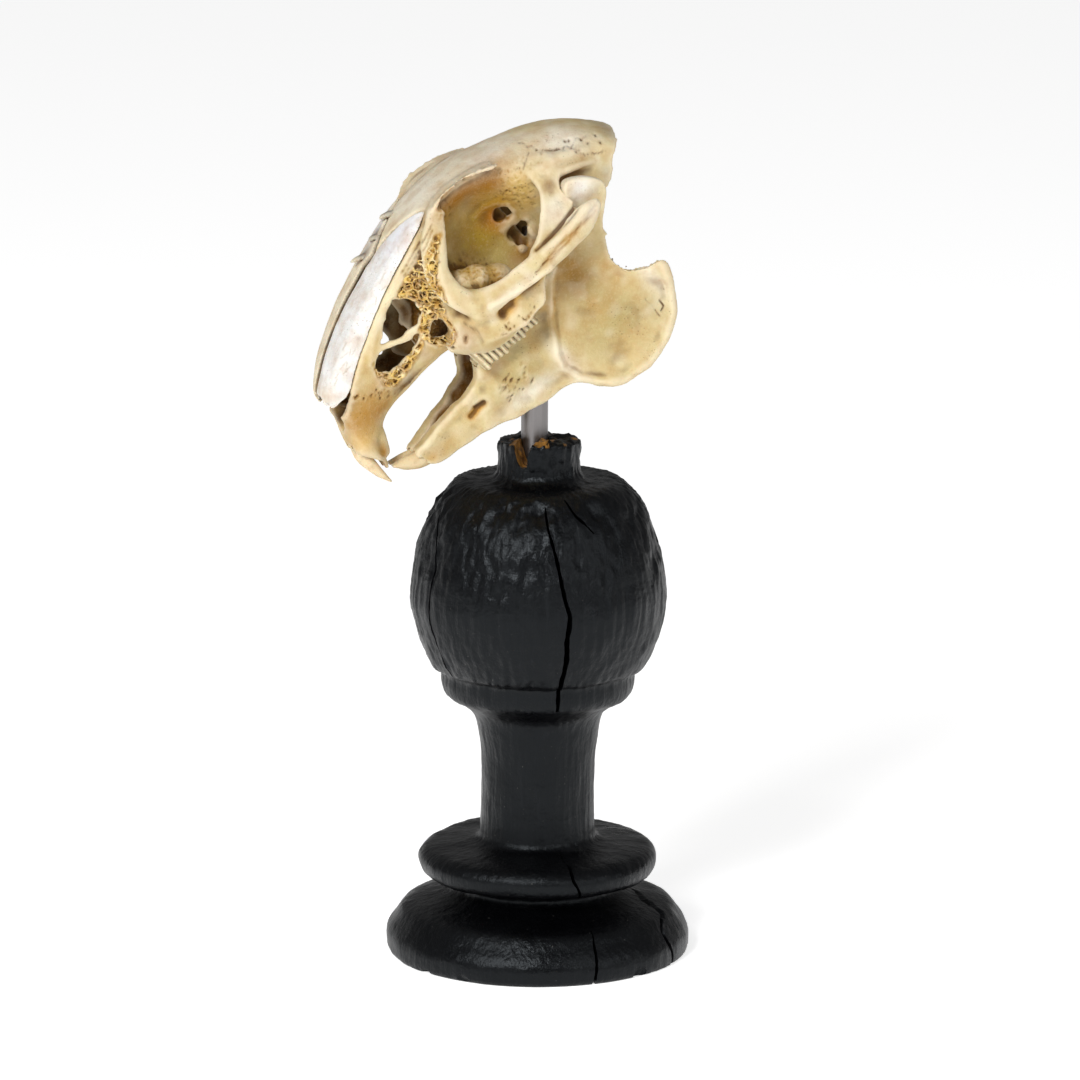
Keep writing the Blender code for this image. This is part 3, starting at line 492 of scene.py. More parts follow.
LEVEL_STRAPS = {
    "brow": [
        (43, -9, 17.2, 1.6, 0.8), (48, -9, 18.6, 1.8, 0.8), (53, -9.2, 18.4, 1.8, 0.8),
        (58, -9.4, 17.3, 1.8, 0.8), (61.5, -9.4, 16.2, 1.2, 0.6),
    ],
    "tooth_bed": [
        (28.5, -10, -6.4, 2.6, 2.6), (31.5, -11.2, -7.2, 3.6, 4.8), (36, -11.8, -8.6, 4.2, 6.4),
        (41, -11.8, -9, 4.2, 6.6), (45.2, -11.4, -8.6, 3.8, 5.8), (48.2, -10.2, -7.8, 2.2, 3.2),
    ],
    "shelf_root": [
        (66, -11.4, 8.6, 1.8, 2.2), (70.5, -12.2, 7.9, 2, 2.3), (75, -12, 6.2, 1.9, 2.1),
        (79, -11.4, 3.8, 1.5, 1.7),
    ],
    "glenoid_shelf": [
        (66.5, -12.6, 6.4, 1.3, 1), (70.5, -13.8, 5.9, 1.4, 1), (74.5, -13.8, 4.4, 1.4, 1),
        (78.2, -12.4, 2.2, 1.2, 0.8),
    ],
}
ORBIT_FRONT_RIM = [
    (39, -16, -5.6, 3, 1.6), (37, -16.4, -1, 2.8, 1.6), (35.6, -16, 3, 2.8, 1.6),
    (36.2, -14.8, 8, 2.9, 1.5), (39.6, -12.8, 12.2, 3, 1.5), (42.8, -11.8, 15.4, 2.6, 1.2),
    (46, -10.8, 17.8, 2, 0.8),
]
# The broken edge of the brow, seen from above, and how high it stands along x
BROW_EDGE = [
    (42.5, -7), (42, -9.6), (43.6, -11.6), (45.6, -12.4), (47.4, -12.7), (48.3, -12), (49.3, -12.9),
    (50.6, -12.2), (51.6, -12.8), (52.6, -11.6), (53.5, -12.7), (54.4, -11.9), (56, -12.6), (58, -12.5),
    (60.2, -12.8), (61.9, -12.4), (62.4, -11.2), (60.9, -10.6), (60.3, -9.6), (61, -7),
]
BROW_HEIGHTS = [
    (42, 16.9), (46, 18.9), (48.7, 19.7), (52.3, 19.4), (54.7, 19), (56.8, 18.3), (59, 17.3),
    (61, 16.2), (63, 15.6),
]
CHEEK_PLATE = [
    (34.4, -5), (33.8, -9.4), (34.8, -11.5), (37.8, -12.3), (40.8, -13), (43.2, -13.6), (46.2, -13),
    (49.8, -12.6), (51.6, -10.4), (53.4, -8.2), (55.5, -6.2), (50, -4), (42, -3.6),
]
# Balls on the left: centre, radii, tilt
CHEEK_LUMP = ((32.4, -12.6, -8), (3.2, 2.8, 3.2), 0)
ORBIT_FLOOR = [
    ((38.8, -10.4, 0.8), (3.8, 4, 3.8), 0), ((42.2, -9.8, -0.8), (4.2, 4.2, 3.6), 30),
    ((46, -9.4, -3.6), (4.2, 4, 3.2), 25),
]
ORBIT_OPENING = ((57.2, -5.6, -2.6), (1.7, 4.2, 3.9), 40)
TORN_OPENING = ((56.6, -5.6, -1.6), (2, 4, 2.6), 20)
ROD_HOLE_BOTTOM = 100
OPTIC_OPENING = ((57, -4.6, 4.4), (1.9, 3.6, 1.9), 0)
SQUAMOSAL_OUTLINE = [
    (66, 11.4), (64.8, 6.4), (62, 3.4), (59.4, 1.6), (56.6, -0.2), (53.8, -1.2), (54.6, -2.2),
    (60, -2.4), (64.4, -2), (67.6, -1.4), (68.6, 0.6), (68.4, 3.4), (71, 6.2), (72, 10.4),
]
# Outlines seen from the side, (x, z): the muzzle's windows, the pit by the cheek teeth, the break
UPPER_WINDOW = [
    (17.4, 2.7), (18.6, 3.6), (20.6, 5.8), (22, 6.6), (23.4, 8), (24.8, 8.4), (25.8, 9), (27, 7.6),
    (28, 7.2), (29.2, 5.2), (28.5, 4), (28.9, 2.4), (27.4, 1.5), (26.4, 0.6), (24, 1.3), (22.2, 0.8),
    (19.6, 1.9),
]
LOWER_WINDOW = [
    (14.4, 0.4), (13.6, -0.8), (13.5, -2.2), (14.6, -3), (15.2, -4.2), (16.4, -3.7), (18, -4.4),
    (19.6, -3.7), (21.6, -3.9), (22.8, -3), (24.6, -2.3), (25.3, -0.9), (23.4, -0.9), (21.6, -0.5),
    (19.4, 0.4), (17.4, 1.3), (15.8, 1.2),
]
CHEEK_PIT = [(26.4, -4.6), (28.2, -1.6), (30.4, -1), (31, -2.6), (30.2, -5.2), (28.4, -6.4)]
BREAK_OUTLINE = [
    (92, 6.6), (86.6, 2.2), (85.8, 1), (84.4, 0.2), (81.3, -2.3), (78, -5), (74.3, -7.2), (72.4, -9.8),
    (70, -16), (100, -24), (104, 10),
]
BREAK_DEPTHS = [(-20, -0.4), (-9, 0), (-4, 1.4), (4, 1.4), (9, 0), (20, -0.4)]
NOSTRIL = [(-4, 0, -5.2, 3.4, 4.2), (1, 0, -4.4, 3.8, 4.4), (5, 0, -3, 4.6, 4.8), (10, 0, -1.5, 5.4, 6)]
NASAL_SEAM = [
    (-3, -1.7), (1.8, -1.8), (4.6, -1.5), (6.5, -0.5), (8.8, 1.5), (12.5, 4.3), (17.3, 7.1),
    (23.8, 10.5), (29.8, 13.1), (35.4, 15.1), (40, 16.7), (45, 18.6),
]
NASAL_REAR = [(30.2, 0), (33, -1.5), (37.5, -3.9), (41.5, -6.5), (43.9, -8.4), (43.3, -9.8), (41, -12)]
NASAL_LEAN = 1.4
NASAL_NOTCH = [(-4, -1.6), (2, -1.6), (6.4, -0.6), (3.4, -3.4), (2.2, -4.6), (-4, -4.6)]
SEAM_GAP = 0.3
ROUGH_VOXEL, BONE_VOXEL = 0.5, 0.465
# Thin walls inside the muzzle, seen from the side, with y of each
INNER_WALLS = [
    (0.2, [(19.5, -4), (21, 0.5), (20.4, 3), (22, 5), (21.4, 8), (23.6, 12.5), (34, 15.5),
           (36, 3), (34, -6.5), (24, -8.5)]),
    (-4.6, [(23.4, -3.6), (24.6, -0.5), (24, 2.2), (25.8, 4.6), (25.2, 7), (27, 10.5), (33, 12),
            (34, 0), (32, -7), (25, -7.5)]),
]
WALL_BITS = [
    ((60.4, -5.6, 0.6), (0.9, 0.8, 1.5)), ((59.2, -5, -3.4), (0.8, 0.7, 1.7)),
    ((55.4, -4.6, -4.6), (1, 0.8, 1)),
]
# Teeth that stand in sockets: (x, y, z, half width, half thickness) on the left
UPPER_INCISOR = [
    (2.8, -1.65, -9.4, 1, 0.9), (2, -1.65, -10.8, 1.2, 1.2), (0.6, -1.6, -13, 1.35, 1.35),
    (-0.6, -1.55, -16.8, 1.4, 1.5), (-0.4, -1.5, -21, 1.35, 1.1), (0.3, -1.5, -24.5, 1.3, 0.3),
]
PEG_INCISOR = [
    (4.6, -1.3, -14.6, 0.6, 0.6), (2.4, -1.3, -19.6, 0.7, 0.7), (1.8, -1.3, -21.8, 0.6, 0.35),
]
# Cheek teeth: x of the first, step, how many, faces towards tongue and cheek, root and crown, lean
UPPER_ROW = (31.8, 2.6, 6, -9.6, -13, -10, -17.2, -0.1)
LOWER_ROW = (32.6, 2.9, 5, -5.2, -8.2, -19.5, -14.6, -0.1)
# Lacy bone of the cheek, seen from the side: its outline above, and the crumbling rim below the window
LACE_ABOVE = [
    (43, 13.6), (41.2, 14.2), (38.6, 13.2), (34.8, 11.8), (31, 10.6), (28, 9.4), (26.6, 8.4), (28.6, 6),
    (29, 3.8), (27.4, 1.2), (25.6, -0.4), (25.4, -2.6), (26, -4.4), (27, -6.6), (29.4, -6.8),
    (31.2, -4.9), (31.9, -1.6), (33.4, 2.4), (34.9, 6.4), (37.4, 9.8), (40.2, 12),
]
LACE_BELOW = [
    (13.6, 0.6), (12.7, -2.4), (12.5, -5.6), (14.6, -7.6), (18.2, -7), (21.4, -5.8), (24.6, -3.8),
    (25.4, -1.8), (22, -3.2), (18.4, -3.9), (15.2, -3.6), (14, -1.6),
]
SIDES = ((-1, "left"), (1, "right"))
CREAM, PALE, WHITE_BONE, GREY = "#cab888", "#e6dfcf", "#ecebe8", "#a09b8a"
OCHRE, GOLD, OLIVE, TAN, BROWN, DARK = "#9c6a12", "#cb9c38", "#8c7020", "#ad843e", "#5a370c", "#211306"


def mirrored(points):
    return [(p[0], -p[1], *p[2:]) for p in points]


def on_side(stations, side):
    return stations if side < 0 else mirrored(stations)


def ring_points(top, bottom, widths):
    """A ring of the head, alike on both sides."""
    half = [
        (top[0] + (bottom[0] - top[0]) * share, -width, top[1] + (bottom[1] - top[1]) * share)
        for share, width in zip(RING_SHARES, widths)
    ]
    return [(top[0], 0, top[1]), *half, (bottom[0], 0, bottom[1]), *mirrored(half)[::-1]]


def skull_solid(name, first, last, wall=0, floor=0, around=3, along=4):
    """The stretch of the head from one ring to another, or the hollow inside its wall."""
    rings = []
    for top, bottom, widths in SKULL_RINGS[first:last]:
        down = (Vector(bottom) - Vector(top)).normalized()
        inner = [max(width - wall * 1.1, 0.6) for width in widths]
        ring = ring_points(Vector(top) + down * wall, Vector(bottom) - down * floor, inner)
        rings.append(smooth_through(ring, around, closed=True))
    return loft(name, rings, along, fan=True)


def slab(name, outline, y_low, y_high, steps=3, layers=1):
    """A flat plate: the smooth outline, given as (x, z), from y_low to y_high."""
    edge = smooth_through([(x, 0, z) for x, z in outline], steps, closed=True)
    levels = [y_low + (y_high - y_low) * k / layers for k in range(layers + 1)]
    return loft(name, [[(p.x, y, p.z) for p in edge] for y in levels], 1)


def melt(name, pieces, voxel, softening):
    """One skin over overlapping solids, softened where they meet."""
    work_on(*pieces)
    if len(pieces) > 1:
        bpy.ops.object.join()
    whole = bpy.context.object
    whole.name = whole.data.name = name
    apply_modifier(whole, "REMESH", mode="VOXEL", voxel_size=voxel)
    if softening:
        apply_modifier(whole, "SMOOTH", factor=0.5, iterations=softening)
    return whole


def shifted(plate, axis, amount):
    """A plate whose places are moved along an axis by an amount that depends on each place."""
    places = places_of(plate)
    places[:, axis] += amount(places)
    put_places(plate, places)
    return plate


def squamosal_plate(side):
    plate = slab("squamosal", SQUAMOSAL_OUTLINE, -0.8, 0.8, steps=6)
    return shifted(plate, 1, lambda p: side * (19.3 - 0.76 * np.maximum(0, p[:, 2])))


def cheek_plate(side):
    plate = slab("cheek_plate", CHEEK_PLATE, -0.7, 0.7, steps=4)
    return shifted(plate, 1, lambda p: side * np.minimum(18, 14.6 + 0.36 * (p[:, 0] - 34)))


def brow_plate(side):
    plate = loft("brow_plate", [[(x, y, z) for x, y in on_side(BROW_EDGE, side)] for z in (-0.42, 0.42)], 1)
    return shifted(plate, 2, lambda p: np.interp(p[:, 0], *zip(*BROW_HEIGHTS)))


def broken_back():
    """All behind the break, which stands further back over the middle and is ragged."""
    rings = []
    for station in smooth_through([(y, further_back, 0) for y, further_back in BREAK_DEPTHS], 4):
        outline = [(x + station.y, station.x, z) for x, z in BREAK_OUTLINE]
        rings.append(smooth_through(outline, 3, closed=True))
    return roughen(roughen(melt("broken_back", [loft("break", rings, 1)], 0.7, 0), 3, 0.7, 2), 1.2, 0.5, 5)


def from_above(name, outline):
    """An upright block over an outline given from above as (x, y)."""
    return loft(name, [[(x, y, z) for x, y in outline] for z in (-5, 24)], 1)


def seam_wall(name, spare):
    return slab(name, [(x, z - spare) for x, z in NASAL_SEAM] + [(45, 26), (-3, 26)], -14, 14, steps=1)


def keep_inside(item, *others):
    for other in others:
        apply_modifier(item, "BOOLEAN", operation="INTERSECT", object=other, solver="MANIFOLD")
        bpy.data.objects.remove(other, do_unlink=True)


def socket(stations, side):
    """The hole round a tooth, with the gap that its root keeps."""
    wider = [(*s[:3], s[3] + SEAM_GAP, s[4] + SEAM_GAP) for s in stations]
    return strap("socket", on_side(wider, side), wide=(0, 1, 0), sides=16, along=3)


def tooth_trench(row, side):
    """The trench that a row of cheek teeth stands in."""
    first, pitch, teeth, inner, outer, root, crown, lean = row
    start, end = first - pitch / 2 - SEAM_GAP, first + (teeth - 0.5) * pitch + SEAM_GAP
    beyond = SEAM_GAP if root > crown else -SEAM_GAP
    rings = []
    for z in (root + beyond, crown - beyond):
        outline = [(start, outer), (end, outer), (end, inner), (start, inner)]
        rings.append([(x + lean * (z - root), y, z) for x, y in outline])
    return loft("trench", [on_side(ring, side) for ring in rings], 1)


def muzzle_hollows():
    return [
        skull_solid("nasal_hollow", 3, 12, wall=1.3, floor=2.6, around=2, along=2),
        strap("nostril", NOSTRIL, wide=(0, 1, 0)),
    ]


pieces = [skull_solid("head", 0, len(SKULL_RINGS))]
for side in (-1, 1):
    pieces += [strap(name, on_side(bar, side)) for name, bar in UPRIGHT_STRAPS.items()]
    pieces += [strap(name, on_side(bar, side), wide=(0, 1, 0)) for name, bar in LEVEL_STRAPS.items()]
    pieces.append(strap("rim", on_side(ORBIT_FRONT_RIM, side), wide=(1, 0, 0)))
    pieces.append(ball("cheek_lump", *CHEEK_LUMP, side=side))
    pieces += [ball("orbit_floor", *lump, side=side) for lump in ORBIT_FLOOR]
    pieces += [squamosal_plate(side), cheek_plate(side)]
cranium = melt("yellowed_cranium", pieces, ROUGH_VOXEL, 5)
brain_hollow = skull_solid("brain_hollow", 13, len(SKULL_RINGS) - 1, wall=1.4, floor=3, around=2, along=2)
cut_away(cranium, *muzzle_hollows(), brain_hollow, broken_back())
cut_away(cranium, ball("orbit_opening", *ORBIT_OPENING), slab("notch", NASAL_NOTCH, -9, 9, steps=2))
left = [(x + SEAM_GAP, min(y + SEAM_GAP, 0)) for x, y in NASAL_REAR]
room = from_above("nasal_room", [*left, (-4, -12), (-4, 12), *mirrored(left)[:0:-1]])
keep_inside(room, seam_wall("room_seam", SEAM_GAP))
cut_away(cranium, room)
for side in (-1, 1):
    for outline, near, far in ((UPPER_WINDOW, 5.5, 14), (LOWER_WINDOW, 5.5, 14), (CHEEK_PIT, 8.6, 15)):
        window = slab("window", outline, *sorted((side * near, side * far)), steps=4, layers=12)
        cut_away(cranium, roughen(window, 1.1, 0.35, 3.0 + side))
    cut_away(cranium, roughen(ball("optic_opening", *OPTIC_OPENING, side=side, detail=4), 1.6, 0.7, 3))
    cut_away(cranium, socket(UPPER_INCISOR, side), socket(PEG_INCISOR, side), tooth_trench(UPPER_ROW, side))
rod_hole = upright_bar("rod_hole", BORE_RADIUS, ROD_HOLE_BOTTOM, ROD_TOP + SEAM_GAP, sides=48)
rod_hole.data.transform(SKULL_IN_MM.inverted())
cut_away(cranium, rod_hole, roughen(ball("torn_opening", *TORN_OPENING, detail=4), 1.4, 0.8, 5))
inner = [slab("inner_wall", outline, y - 0.35, y + 0.35, steps=4, layers=2) for y, outline in INNER_WALLS]
inner += [ball("bit", centre, radii) for centre, radii in WALL_BITS]
inner += [brow_plate(side) for side in (-1, 1)]
cranium = melt("yellowed_cranium", [cranium, *inner], BONE_VOXEL, 2)


def inside_of(outline, flat):
    """Whether flat points lie inside an outline."""
    x, z = flat.T
    inside = np.zeros(len(x), bool)
    for (x0, z0), (x1, z1) in zip(outline, [*outline[1:], outline[0]]):
        if z0 != z1:
            inside ^= ((z0 > z) != (z1 > z)) & (x < x0 + (z - z0) * (x1 - x0) / (z1 - z0))
    return inside


class Clay:
    """A bone being finished: its places are pushed along its normals, and its colours are dabbed on."""

    def __init__(self, item, colour):
        self.item = item
        self.places = places_of(item)
        self.normals = normals_of(item)
        self.push = np.zeros(len(self.places))
        self.tint = np.tile(linear(colour), (len(self.places), 1))

    def facing(self, side, sharpness=3):
        """1 on the outer side of the left (-1) or right (1), falling to 0 where the skin turns away."""
        return clamp(self.normals[:, 1] * side * sharpness) * (self.places[:, 1] * side > 0)

    def groove(self, line, half_width, depth, side, limit=0):
        """A groove (or a ridge, with a negative depth) along a line of (x, z) seen from a side."""
        away = distance_to(line, self.places[:, ::2]) / half_width
        share = np.exp(-(away**2)) * self.facing(side) * (self.places[:, 1] * side > limit)
        self.push -= depth * share
        return share

    def pit(self, centre, radius, depth, side):
        return self.groove([centre, (centre[0] + 0.01, centre[1])], radius, depth, side)

    def within(self, outline, softness=0.5):
        """1 inside an outline of (x, z), 0 outside, soft at its edge."""
        flat = self.places[:, ::2]
        edge = distance_to([*outline, outline[0]], flat)
        return clamp(0.5 + np.where(inside_of(outline, flat), edge, -edge) / (2 * softness))

    def dab(self, colour, centre, radius, strength, sides=(-1, 1)):
        """Paints a soft round dab, given on the left, on one side or both."""
        for side in sides:
            middle = np.array([centre[0], -side * centre[1], centre[2]])
            away = np.linalg.norm((self.places - middle) / np.array(radius), axis=1)
            self.mix(colour, strength * np.exp(-((away * 1.3) ** 2)))

    def mix(self, colour, share):
        share = clamp(share)[:, None]
        self.tint = self.tint * (1 - share) + np.array(linear(colour)) * share

    def wear(self, *layers):
        """Lumps all over, each a height, a size and a seed."""
        self.push = sum((height * lumps(self.places, *scale) for height, *scale in layers), self.push)

    def speckle(self, colour, size, amount, seed):
        self.mix(colour, np.clip(lumps(self.places, size, seed) * 2 * amount, 0, amount))

    def finish(self, slot, material, *nodes):
        """Moves the places, keeps the colours, and puts the bone where it is carried."""
        put_places(self.item, self.places + self.normals * self.push[:, None])
        store(self.item, "tint", clamp(self.tint))
        # The hollow and shelter values feed the materials' painted shade
        store(self.item, "hollow", hollowness(self.item))
        store(self.item, "shelter", shelter(self.item))
        self.item.data.transform(SKULL_SEAT)
        self.item.data.shade_smooth()
        hand_over(self.item, material, slot, *nodes)


def softened(item, values, rounds):
    """Values of each vertex, averaged with its neighbours' a number of times."""
    ends = np.empty(len(item.data.edges) * 2, int)
    item.data.edges.foreach_get("vertices", ends)
    first, second = ends.reshape(-1, 2).T
    size = len(item.data.vertices)
    count = np.maximum(np.bincount(ends, minlength=size), 1)
    columns = values.reshape(size, -1).T.copy()
    for _ in range(rounds):
        from_second = [np.bincount(first, column[second], size) for column in columns]
        from_first = [np.bincount(second, column[first], size) for column in columns]
        columns = [(one + other) / count for one, other in zip(from_second, from_first)]
    return np.array(columns).T.reshape(values.shape)


def hollowness(item):
    """How far each vertex lies below (positive) the softened skin around it, in millimetres."""
    places = places_of(item)
    return ((softened(item, places, 12) - places) * normals_of(item)).sum(axis=1)


def shelter(item, reach=11, ways=8):
    """The share of the ways out of each vertex that the same piece blocks."""
    tree = BVHTree.FromObject(item, bpy.context.evaluated_depsgraph_get())
    lean = [Vector((sin(k * 2.4) * s, cos(k * 2.4) * s, z)) for k, z, s in (
        (k, 1 - (2 * k + 1) / ways, (1 - (1 - (2 * k + 1) / ways) ** 2) ** 0.5) for k in range(ways))]
    blocked = []
    for place, normal in zip(places_of(item).tolist(), normals_of(item).tolist()):
        normal = Vector(normal)
        start = Vector(place) + normal * 0.05
        blocked.append(sum(tree.ray_cast(start, normal + way, reach)[0] is not None for way in lean) / ways)
    return softened(item, np.array(blocked), 3)


skin = BVHTree.FromObject(cranium, bpy.context.evaluated_depsgraph_get())
clay = Clay(cranium, CREAM)
for side in (-1, 1):
    lace = np.maximum(clay.within(LACE_ABOVE), clay.within(LACE_BELOW)) * clay.facing(side, 2)
    lace *= clay.places[:, 1] * side > 4.5
    nearest, second = cells(clay.places, 1.5, 4.0 + side)
    wall = clamp(1 - (second - nearest) * 3)
    clay.push -= lace * (0.95 - 0.7 * wall)
    clay.mix(GOLD, lace * 0.9)
    # Painted shade: the sunken cells between the struts are painted ochre
    clay.mix(OCHRE, lace * (1 - wall) * 0.6)
    # The arch's suture and ridges, the edge of the cheek bone, the rut and hole under the arch, the ring
    # round the nerve's opening: line, half width, depth, least y, colour and its share
    for line, half_width, depth, least, colour, share in (
        ([(68.2, -0.2), (66.4, -0.7), (63.8, -1.1), (60, -1.5), (55, -1.2)], 0.3, 0.5, 17, BROWN, 1),
        ([(40, -4.4), (44.5, -5.1), (50.3, -5.9), (55, -6.2)], 0.8, -0.7, 14, BROWN, 0),
        ([(56, -2.6), (61, -2.4), (66, -1.9), (70, -1.2)], 0.7, -0.3, 18, BROWN, 0),
        ([(33.6, -4.6), (34.6, -8), (34, -10.6)], 0.4, 0.2, 12, BROWN, 0.25),
        ([(40.8, -7.6), (44, -7.4), (48, -7.2), (53, -7.2)], 0.7, 0.6, 13, GOLD, 0.8),
        ([(41, -8), (43.6, -7.7)], 1.2, 1.3, 13, "#c8922c", 1.2),
        ([(40.6, -8.6), (40.61, -8.6)], 0.7, 0.3, 0, BROWN, 1),
        ([(52.1, 7.9), (54.9, 8.4), (57.3, 7.7), (58.8, 6), (59, 3.6), (57.6, 1.8), (54.6, 1.4)],
         0.8, -0.3, 2, OCHRE, 0),
        ([(53.6, 5.6), (56.2, 5), (57, 3)], 1.9, 0.35, 2, OCHRE, 0.8),
    ):
        clay.mix(colour, clay.groove(line, half_width, depth, side, least) * share)
    for k in range(9):
        start = (52.0 + 2.1 * k, -4.8 + 0.21 * k + 0.5 * sin(k * 2.6))
        clay.mix("#8a5c14", clay.groove([start, (start[0] + 3.8, start[1] + 0.4)], 0.24, 0.2, side, 17))
    # Seam of the jaw bone with the nose bar, and the small holes of the muzzle
    for shift, dark in ((0, 0.8), (0.9, 0.6)):
        line = [(42.4 - shift * 0.6, 16.4 - shift * 0.9)]
        line += [(38.6, 14.9 - shift), (34, 13.2 - shift), (31, 12.2 - shift)]
        clay.mix(BROWN, clay.groove(line, 0.16, 0.2, side, 7) * dark)
    clay.groove([(30, 11.2), (24.2, 9.2), (20.4, 7.6), (16.3, 4.4), (13, 1)], 0.8, -0.25, side, 6)
    dice = Random(11)
    for k in range(22):
        centre = (5.6 + 0.42 * k * 0.8 + dice.uniform(-0.8, 0.8), -2.6 - 0.27 * k + dice.uniform(-1, 1))
        clay.mix(BROWN, clay.pit(centre, dice.uniform(0.14, 0.3), 0.4, side))
    for k in range(26):
        centre = (38.0 + dice.uniform(0, 9.5), -11.2 + dice.uniform(-1.3, 1))
        clay.mix(BROWN, clay.pit(centre, dice.uniform(0.14, 0.26), 0.35, side) * 0.8)
    # Painted shade: these holes are painted near black inside
    for centre, radius in (((31.8, -7.2), 0.5), ((31.2, -7.9), 0.4), ((28.4, -7.6), 0.35)):
        clay.mix(DARK, clay.pit(centre, radius, 0.7, side))
# Seams and small holes on the braincase
dice = Random(5)
for line in (
    [(69.4, 14.4), (70.6, 12.8), (71.3, 11.1), (74, 9.4), (76.6, 7.8), (77.4, 6.2), (78.2, 4.4), (80.5, 2.7),
     (82.8, 1)],
    [(60, 14), (62.5, 13.2), (64.4, 12), (66, 11.2), (67.8, 11.9), (69.6, 12.4)],
    [(76.6, 7.8), (79.6, 7.4), (82.4, 5.6)],
):
    for side in (-1, 1):
        jagged = []
        for start, end in zip(line, line[1:]):
            for share in (0, 0.25, 0.5, 0.75):
                x, z = (s + (e - s) * share for s, e in zip(start, end))
                jagged.append((x + dice.uniform(-0.35, 0.35), z + dice.uniform(-0.35, 0.35)))
        clay.mix(BROWN, clay.groove(jagged, 0.14, 0.2, side, 5) * 0.7)
holes = ((77, 8.9), (77.7, 8.4), (79.9, 6.7), (80.4, 5.4), (77, 6.4), (77.9, 6.1), (83, 4.9), (82.6, 3.6))
for centre in holes:
    clay.mix(BROWN, clay.pit(centre, dice.uniform(0.2, 0.36), 0.5, -1))
for k in range(26):
    centre = (63.0 + dice.uniform(0, 8), 12.2 + dice.uniform(-2.4, 1.6))
    clay.mix(TAN, clay.pit(centre, dice.uniform(0.1, 0.22), 0.12, -1) * 0.8)
# Grain of the orbit's roof and floor, and the worn surface everywhere
x, y, z = clay.places.T
spongy = np.zeros(len(x))
spots = ((61.5, 8.5, 3.6), (62.5, 4.5, 2.6), (41.5, 0.8, 4.2), (46, -2.6, 2.6), (47, 15.5, 2.6))
for *centre, radius in spots:
    away = np.linalg.norm(clay.places[:, ::2] - np.array(centre), axis=1) / radius
    spongy = np.maximum(spongy, clamp(1.3 - away) * (np.abs(y) < 14))
nearest, second = cells(clay.places, 0.9, 17)
clay.push -= spongy * 0.9 * clamp(0.6 - nearest)
clay.mix(GOLD, spongy * 0.6)
# Painted shade: the sunken pits of the grain are painted brown
clay.mix(BROWN, spongy * clamp(0.45 - nearest) * 1.3)
brow = clamp(1.4 - distance_to([(46, -12), (61, -12)], clay.places[:, :2]) / 1.4) * (z > 14)
clay.push -= brow * 0.2 * clamp(0.4 + 2 * lumps(clay.places, 0.9, 61))
# Painted shade on the brow's edge and underside, where it does not face up
clay.mix("#b98a34", brow * (clay.normals[:, 2] < 0.1))
clay.wear((0.12, 5, 1), (0.06, 1.6, 9), (0.025, 0.7, 19))

# Stains: where the bone is bleached, browned or greyed; a few dabs are painted shade, in the recess behind
# the orbit's front rim and under the glenoid shelf
clay.speckle(TAN, 6, 0.30, 2.6)
clay.speckle(OCHRE, 2.6, 0.22, 13)
clay.speckle(PALE, 3.2, 0.3, 23)
for colour, centre, radius, strength in (
    (PALE, (45, -4, 19.5), (12, 10, 4), 0.8), (PALE, (62, -6, 18), (13, 10, 6), 0.9),
    (PALE, (76, -9, 9), (9, 7, 8), 0.9), (TAN, (62, -3, 18.6), (5, 3, 2), 0.4),
    (TAN, (70, -9, 8.6), (5, 5, 2.2), 0.5), (GREY, (86.5, -8, 1.5), (3, 12, 5), 0.6),
    (GREY, (80, -11, -3), (4, 5, 4), 0.6), ("#935c04", (51, -8.2, 15.2), (11, 5, 3.6), 1),
    ("#935c04", (58.5, -8.2, 12.8), (8, 5, 4.4), 1), ("#a0740a", (56.5, -6, 7), (8, 5, 7), 1),
    ("#946a00", (45.5, -9, 12), (6, 6, 6), 1), ("#9b7e10", (50, -4.5, 3.5), (12, 6, 11), 1),
    ("#b0a05c", (50, -4, -3), (6, 4, 4), 0.8), ("#a8640a", (55.6, -4, 5), (4.4, 3, 4.4), 0.9),
    # Painted shade: the dark dab in the recess behind the orbit's front rim
    (DARK, (40.6, -8.4, 4.8), (1.5, 3, 5), 0.95), ("#a58428", (42, -10.4, 0.6), (7, 5, 5), 0.9),
    (OCHRE, (46, -8, 2.4), (4, 4, 1.6), 0.8), (OCHRE, (55.5, -5, -6), (5, 4, 5), 0.8),
    # Painted shade: the ochre and brown dabs from x 67.6 to 72 lie under the glenoid shelf
    ("#c9ac62", (63, -10, 7), (3.5, 4, 6), 0.8), (OCHRE, (72, -13.4, 3.6), (6.5, 3.5, 2.6), 0.95),
    (BROWN, (67.6, -14.4, 5.2), (2.2, 2.5, 1.8), 0.95), (OCHRE, (70.2, -17, 0.6), (2.2, 4, 1.6), 0.8),
    (PALE, (64, -19, 2.4), (5, 4, 6), 0.8), (PALE, (70, -22, -2.6), (5, 3, 3), 0.7),
    (TAN, (61, -22, -3.6), (7, 2, 1.4), 0.5), (PALE, (45, -20, -4.8), (9, 3, 1.6), 0.6),
    ("#a67a30", (5, -6, -7), (11, 6, 8), 0.95), (OCHRE, (1.5, -4.5, -9), (2.4, 4, 5), 0.6),
    (GOLD, (0.5, -4.5, -13), (4, 5, 4), 0.6), (OCHRE, (3, -3, -18), (2.6, 3, 2.2), 0.9),
    (OCHRE, (9, -6, -9.6), (4, 3, 1.8), 0.8), ("#c9ab6c", (14, -8.5, 3.2), (10, 4, 3), 0.6),
    ("#d8c79a", (24, -9.8, 10), (8, 3, 2), 0.6), (BROWN, (3.8, -4.2, -3), (3, 3.4, 2.2), 0.95),
    ("#a88a66", (31.8, -14.6, -7.4), (4, 4, 4.2), 0.95),
    (OCHRE, (29.4, -9.6, -3.8), (2.6, 2.6, 3), 0.9), ("#e2d3a8", (37, -16, 2), (2.4, 3, 9), 0.6),
):
    clay.dab(colour, centre, radius, strength)
